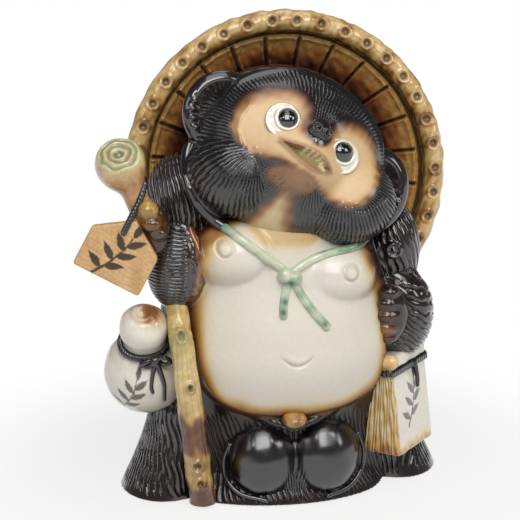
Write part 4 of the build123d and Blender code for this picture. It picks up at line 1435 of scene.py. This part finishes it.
class TANUKI_OT_flask(bpy.types.Operator):
    """Sake flask and the cord tied round its neck"""

    bl_idname = "tanuki.flask"
    bl_label = "Flask"

    def execute(self, context):
        axes = turn("Y", -4) @ turn("X", 30)
        foot = np.array([-83.0, -10, 57])

        def own(p):
            q = (p - foot) @ axes
            return q, np.hypot(q[:, 0], q[:, 1]), np.arctan2(q[:, 0], -q[:, 1])

        def form(p):
            q, r, _ = own(p)
            body = melt(egg(q, (0, 0, 27), (26, 26, 27.5)), egg(q, (0, 0, 66), (15, 15, 14)), 7)
            body = melt(body, np.maximum(r - 12.5, np.abs(q[:, 2] - 53) - 8), 4)
            body = trim(body, q[:, 2] - 78.5, 2)
            body = trim(body, -q[:, 2], 3)
            lip = np.hypot(r - 5.8, q[:, 2] - 78) - 1.3
            body = melt(body, lip, 2.5)
            return body + 0.2 * ripple(p, 14, 111)

        def paint(p):
            q, _, angle = own(p)
            tone = 0.9 * ease(18, 3, q[:, 2] + 1.5 * ripple(p, 8, 112))
            # Amber towards the top and the side turned to the body: amber glaze drips together with painted
            # shade where the forearm overhangs the top
            tone = tone + 0.5 * ease(71, 85, q[:, 2] + 6.0 * np.sin(angle) + 1.2 * ripple(p, 6, 113))
            tone = tone + 0.2 * ease(75, 79, q[:, 2])
            brush = leaf_spray((angle + 0.45) * 25, q[:, 2] - 28, 24) + 0.3 * ripple(p, 3, 114)
            return {"tone": np.clip(tone, 0, 1), "mark": ease(0.3, -0.3, brush) * 0.85}

        stops = shades(
            (0.0, 242, 236, 225), (0.3, 222, 204, 168), (0.55, 168, 108, 46), (0.85, 62, 36, 22),
            (1.0, 34, 22, 18),
        )
        material = glaze(
            "flask_glaze_finish", stops, BROWN, ink(40, 38, 38), rough=0.14, mottle=0.04, speck=0.08
        )
        fire("flask", form, paint, material, step=0.6)

        def cord(p):
            q, r, angle = own(p)
            ring = np.hypot(r - 14.3, q[:, 2] - 53 - 0.6 * np.cos(angle * 2)) - 2.3
            ring = ring + 0.3 * np.cos(angle * 44 + q[:, 2] * 2)
            for side in (-1, 1):
                loop = [
                    (5, -15.5, 53), (5 + side * 5, -18.5, 56 + side), (5 + side * 9, -18, 52),
                    (5 + side * 5, -17.5, 49.5), (5, -15.5, 53),
                ]
                ring = melt(ring, rod(q, bend(loop, 5), [1.5] * 21), 0.8)
                tail = [
                    (5, -16, 53), (5 + side * 2.5, -21, 46), (5 + side * 4, -24, 38),
                    (5 + side * 3.5, -26, 31 - 4 * side),
                ]
                ring = melt(ring, rod(q, bend(tail, 5), np.linspace(1.5, 1.2, 16)), 0.8)
            return melt(ring, egg(q, (5, -17, 53), (2.8, 2.6, 2.8)), 1)

        reach = node_box("flask")
        fire("flask_cord", cord, even(0.5), black_material(), step=0.45, grow=5.0, reach=reach)
        return {"FINISHED"}


class TANUKI_OT_ledger(bpy.types.Operator):
    """Account ledger and its tie band"""

    bl_idname = "tanuki.ledger"
    bl_label = "Ledger"

    def execute(self, context):
        axes = turn("Z", 52)
        foot = np.array([76.0, -24, 24])

        def half(z):
            return np.interp(z, (0, 30, 52, 64), (13.0, 9.8, 6.6, 6.2))

        def book(q):
            plan = trim(np.abs(q[:, 0]) - 24, (np.abs(q[:, 1]) - half(q[:, 2])) * 0.97, 2.0)
            return trim(plan, np.abs(q[:, 2] - 32) - 32, 2.0)

        def sheets(q):
            return comb(q[:, 1] / half(q[:, 2]) * 4.6 + 0.25 * np.sin(q[:, 2] / 7 + q[:, 1]))

        def roll(q):
            return rod(q, [(-22.0, -5.5, 61.0), (-22.0, 5.5, 61.0)], (4.6, 4.6))

        def form(p):
            q = (p - foot) @ axes
            face = ease(-21.5, -23, q[:, 0]) * ease(56, 50, q[:, 2])
            return melt(book(q) + face * sheets(q), roll(q), 2) + 0.2 * ripple(p, 14, 121)

        def paint(p):
            q = (p - foot) @ axes
            page = ease(-20.5, -22.5, q[:, 0])
            low = ease(10, 0, q[:, 2] + 1.5 * ripple(p, 7, 122))
            aged = 0.36 + 0.12 * ripple(p, 9, 123) + 0.35 * ease(14, 0, q[:, 2])
            tone = np.maximum(page * aged, low * 0.55)
            tone = np.maximum(tone, (0.3 + 0.2 * ripple(p, 6, 126)) * ease(2.5, 0.5, roll(q)))
            brush = leaf_spray(q[:, 0] - 2, q[:, 2] - 30, 26) + 0.3 * ripple(p, 3, 124)
            front = ease(-3.5, -5.0, q[:, 1])
            pooled = page * sheets(q) ** 2 * ease(56, 50, q[:, 2])
            return {"tone": tone, "groove": pooled * 0.75, "mark": ease(0.3, -0.3, brush) * front * 0.85}

        stops = shades(
            (0.0, 246, 241, 230), (0.3, 234, 208, 146), (0.55, 206, 156, 76), (0.78, 140, 86, 36),
            (1.0, 70, 42, 24),
        )
        material = glaze(
            "ledger_glaze_finish", stops, ink(104, 62, 26), ink(48, 46, 46),
            rough=0.16, coat=0.5, mottle=0.06, speck=0.12,
        )
        fire("ledger", form, paint, material, step=0.5, grow=5.0)

        def band(p):
            q = (p - foot) @ axes
            strip = trim(book(q) - 1.5, np.abs(q[:, 2] - 54 - 0.6 * np.sin(q[:, 1] * 0.9)) - 2.2, 1.4)
            strip = np.maximum(strip, -book(q) - 1.0)
            drop = rod(q, [(6, -8.0, 54), (7, -9.4, 46), (6, -10.4, 39)], (1.7, 1.4, 1.1))
            return melt(strip, drop, 1) + 0.15 * np.cos((q[:, 0] + q[:, 1]) * 2.2)

        reach = node_box("ledger")
        fire("ledger_cord", band, even(0.5), black_material(), step=0.5, grow=4.0, reach=reach)
        return {"FINISHED"}


class TANUKI_OT_neck_cord(bpy.types.Operator):
    """Neck cord strands and their knot with two tails"""

    bl_idname = "tanuki.neck_cord"
    bl_label = "Neck cord"

    def execute(self, context):
        right_strand = [
            (0, -58.8, 148), (-7, -57.8, 154), (-14, -59.6, 159.3), (-21, -60.6, 165), (-28, -59.2, 170),
            (-34, -54.6, 174), (-40, -49, 177.8), (-46, -45.5, 182),
        ]
        left_strand = [
            (0, -58.8, 148), (6, -58, 152), (12, -56.3, 155), (23, -54, 158.7), (35.5, -52, 160.6),
            (45, -46.5, 162.5), (52, -40, 166),
        ]
        right_strand, left_strand = bend(right_strand, 5), bend(left_strand, 5)
        short_tail = bend([(-1, 0, 146), (-2.6, 0, 138), (-4.2, 0, 130), (-4.6, 0, 125)])[:, [0, 2]]
        long_tail = bend([(2, 0, 145), (7, 0, 136), (14, 0, 126), (22, 0, 117)])[:, [0, 2]]
        tail_half = 2.6
        pools = ((-4.6, 127), (20.5, 118.8), (-3.4, 133), (0.5, 144))

        def strands(p):
            right = rod(p, right_strand, np.linspace(2.7, 3.1, len(right_strand)))
            return np.minimum(right, rod(p, left_strand, np.linspace(2.6, 2.9, len(left_strand))))

        def paint(p):
            x = p[:, 0] + 2 * ripple(p, 7, 132)
            tone = 0.55 + 0.25 * ripple(p, 9, 131) - 0.5 * ease(0.2, 1.8, -p[:, 1] - 55)
            edge = np.where(p[:, 0] < 0, ease(-33, -43, x), ease(42, 50, x))
            pooled = ease(0.3, 0.9, ripple(p, 6, 133)) * 0.35
            return {"tone": np.clip(tone, 0, 1), "mark": edge, "groove": pooled}

        def ribbon(p, run):
            gap, _ = flat_line(p[:, 0], p[:, 2], run)
            body = chest(p)
            crown = tail_half * np.sqrt(np.clip(1 - (gap / tail_half) ** 2, 0, 1))
            edge = np.maximum(body - crown - 0.2 * np.cos(gap * 2.2), gap - tail_half)
            return np.maximum(np.maximum(edge, -body - 1.5), p[:, 1] + 12)

        cord = tuple(context.scene.tanuki_colours.cord)
        stops = [(0.0, ink(214, 216, 190)), (0.45, cord), (1.0, ink(104, 138, 108))]
        material = glaze(
            "green_glaze_finish", stops, ink(206, 200, 160), BLACK, wash=ink(52, 104, 84),
            rough=0.14, coat=0.5, mottle=0.2, speck=0.15,
        )
        fire("neck_cord", strands, paint, material, step=0.5, grow=6.0)

        def knot(p):
            lump = egg(p, (-3, -61.5, 148.5), (4.6, 5.0, 5.0))
            lump = melt(lump, egg(p, (3.5, -61.5, 146.5), (4.4, 4.8, 4.6)), 1.5)
            return melt(lump, np.minimum(ribbon(p, short_tail), ribbon(p, long_tail)), 1.5)

        def knot_paint(p):
            spots = sum(bell(np.hypot(p[:, 0] - x, p[:, 2] - z), 2.1) for x, z in pools)
            tone = np.clip(0.25 + 0.3 * ripple(p, 8, 135), 0, 1)
            return {"tone": tone, "wash": np.clip(0.85 * spots, 0, 0.85)}

        fire("neck_cord_knot", knot, knot_paint, material, step=0.45, grow=5.0)
        return {"FINISHED"}


class TANUKI_OT_stage(bpy.types.Operator):
    """Pale floor, soft lamps, dim surroundings and the camera"""

    bl_idname = "tanuki.stage"
    bl_label = "Studio"

    def execute(self, context):
        scene = context.scene
        studio = scene.tanuki_studio
        mesh = bpy.data.meshes.new("floor")
        half = 30.0
        corners = [(-half, -half, 0), (half, -half, 0), (half, half, 0), (-half, half, 0)]
        mesh.from_pydata(corners, [], [(0, 1, 2, 3)])
        floor = bpy.data.objects.new("floor", mesh)
        scene.collection.objects.link(floor)
        material = bpy.data.materials.new("floor_paper")
        material.use_nodes = True
        shader = material.node_tree.nodes["Principled BSDF"]
        shader.inputs["Base Color"].default_value = (*studio.floor, 1)
        shader.inputs["Roughness"].default_value = 0.9
        shader.inputs["Specular IOR Level"].default_value = 0.0
        mesh.materials.append(material)
        nodes, links = material.node_tree.nodes, material.node_tree.links

        def greatest(*sockets):
            found = sockets[0]
            for socket in sockets[1:]:
                node = nodes.new("ShaderNodeMath")
                node.operation = "MAXIMUM"
                links.new(found, node.inputs[0])
                links.new(socket, node.inputs[1])
                found = node.outputs[0]
            return found

        path = nodes.new("ShaderNodeLightPath")
        seen = greatest(*(path.outputs[f"Is {ray} Ray"] for ray in ("Camera", "Glossy", "Transmission")))
        place = nodes.new("ShaderNodeTexCoord")
        reach = nodes.new("ShaderNodeVectorMath")
        reach.operation = "LENGTH"
        links.new(place.outputs["Object"], reach.inputs[0])
        far = nodes.new("ShaderNodeMapRange")
        far.interpolation_type = "SMOOTHSTEP"
        far.inputs["From Min"].default_value = 0.12
        far.inputs["From Max"].default_value = 0.28
        far.inputs["To Min"].default_value = 0.78
        links.new(reach.outputs["Value"], far.inputs["Value"])
        share = nodes.new("ShaderNodeMath")
        share.operation = "MULTIPLY"
        links.new(far.outputs[0], share.inputs[0])
        links.new(seen, share.inputs[1])
        white = nodes.new("ShaderNodeEmission")
        white.inputs["Color"].default_value = (1, 1, 1, 1)
        white.inputs["Strength"].default_value = 1.0
        join = nodes.new("ShaderNodeMixShader")
        links.new(share.outputs[0], join.inputs[0])
        links.new(shader.outputs[0], join.inputs[1])
        links.new(white.outputs[0], join.inputs[2])
        links.new(join.outputs[0], nodes["Material Output"].inputs["Surface"])

        world = bpy.data.worlds.new("studio")
        scene.world = world
        world.use_nodes = True
        nodes, links = world.node_tree.nodes, world.node_tree.links
        nodes.clear()
        place = nodes.new("ShaderNodeTexCoord")
        split = nodes.new("ShaderNodeSeparateXYZ")
        links.new(place.outputs["Generated"], split.inputs[0])
        sky = nodes.new("ShaderNodeValToRGB")
        bands = ((0.05, (0.21, 0.213, 0.22, 1)), (0.5, (0.07, 0.073, 0.077, 1)))
        for element, (at, colour) in zip(sky.color_ramp.elements, bands):
            element.position = at
            element.color = colour
        links.new(split.outputs["Z"], sky.inputs[0])
        mix = nodes.new("ShaderNodeBackground")
        mix.inputs["Strength"].default_value = 1.0
        links.new(sky.outputs[0], mix.inputs["Color"])
        out = nodes.new("ShaderNodeOutputWorld")
        links.new(mix.outputs[0], out.inputs[0])

        aim = Vector((0, 0, 0.14))
        for name, at, power, size in (
            ("key_lamp", (-0.05, -1.05, 1.1), studio.key_power, 0.85),
            ("front_top_lamp", (0.05, -0.45, 1.4), studio.key_power * 0.28, 0.75),
            ("left_lamp", (-1.15, -0.5, 0.75), studio.key_power * 0.1, 0.45),
            ("right_lamp", (1.1, -0.65, 0.8), studio.key_power * 0.25, 0.45),
            ("left_spark", (-0.7, -0.8, 1.05), studio.key_power * 0.1, 0.2),
            ("right_spark", (0.6, -0.75, 1.1), studio.key_power * 0.1, 0.2),
            ("top_lamp", (0.1, 0.3, 1.3), studio.key_power * 0.1, 0.5),
        ):
            lamp = bpy.data.lights.new(name, "AREA")
            lamp.energy = power
            lamp.size = size
            light = bpy.data.objects.new(name, lamp)
            light.location = at
            light.rotation_euler = (aim - Vector(at)).to_track_quat("-Z", "Y").to_euler()
            scene.collection.objects.link(light)

        az, el = studio.azimuth, studio.elevation
        back = Vector((math.sin(az) * math.cos(el), -math.cos(az) * math.cos(el), math.sin(el)))
        lens = bpy.data.cameras.new("photo_camera")
        lens.sensor_width = 36
        lens.lens = studio.lens
        lens.clip_start, lens.clip_end = 0.05, 50
        camera = bpy.data.objects.new("photo_camera", lens)
        camera.location = Vector((-0.0095, 0, 0.142)) + back * studio.distance
        camera.rotation_euler = (-back).to_track_quat("-Z", "Y").to_euler()
        scene.collection.objects.link(camera)
        scene.camera = camera
        scene.view_settings.view_transform = "Standard"
        return {"FINISHED"}


class TANUKI_PT_panel(bpy.types.Panel):
    """Lists the figure's settings and the operators that build it"""

    bl_idname = "TANUKI_PT_panel"
    bl_label = "Tanuki figure"
    bl_space_type = "VIEW_3D"
    bl_region_type = "UI"
    bl_category = "Tanuki"

    def draw(self, context):
        for group in (context.scene.tanuki_sizes, context.scene.tanuki_colours, context.scene.tanuki_studio):
            column = self.layout.column()
            for name in group.__annotations__:
                column.prop(group, name)
        for operator in OPERATORS:
            self.layout.operator(operator.bl_idname)


OPERATORS = (
    TANUKI_OT_stage,
    TANUKI_OT_base,
    TANUKI_OT_torso,
    TANUKI_OT_legs,
    TANUKI_OT_bag,
    TANUKI_OT_tail,
    TANUKI_OT_head,
    TANUKI_OT_ears,
    TANUKI_OT_ruffs,
    TANUKI_OT_eyes,
    TANUKI_OT_nose,
    TANUKI_OT_hat,
    TANUKI_OT_arms,
    TANUKI_OT_paws,
    TANUKI_OT_staff,
    TANUKI_OT_plaque,
    TANUKI_OT_flask,
    TANUKI_OT_ledger,
    TANUKI_OT_neck_cord,
)
GROUPS = {"tanuki_sizes": TanukiSizes, "tanuki_colours": TanukiColours, "tanuki_studio": TanukiStudio}


def register():
    for group in GROUPS.values():
        bpy.utils.register_class(group)
    for name, group in GROUPS.items():
        setattr(bpy.types.Scene, name, bpy.props.PointerProperty(type=group))
    for operator in OPERATORS:
        bpy.utils.register_class(operator)
    bpy.utils.register_class(TANUKI_PT_panel)


def unregister():
    bpy.utils.unregister_class(TANUKI_PT_panel)
    for operator in reversed(OPERATORS):
        bpy.utils.unregister_class(operator)
    for name, group in GROUPS.items():
        delattr(bpy.types.Scene, name)
        bpy.utils.unregister_class(group)


def main():
    register()
    for operator in OPERATORS:
        group, name = operator.bl_idname.split(".")
        getattr(getattr(bpy.ops, group), name)()


if __name__ == "__main__":
    main()
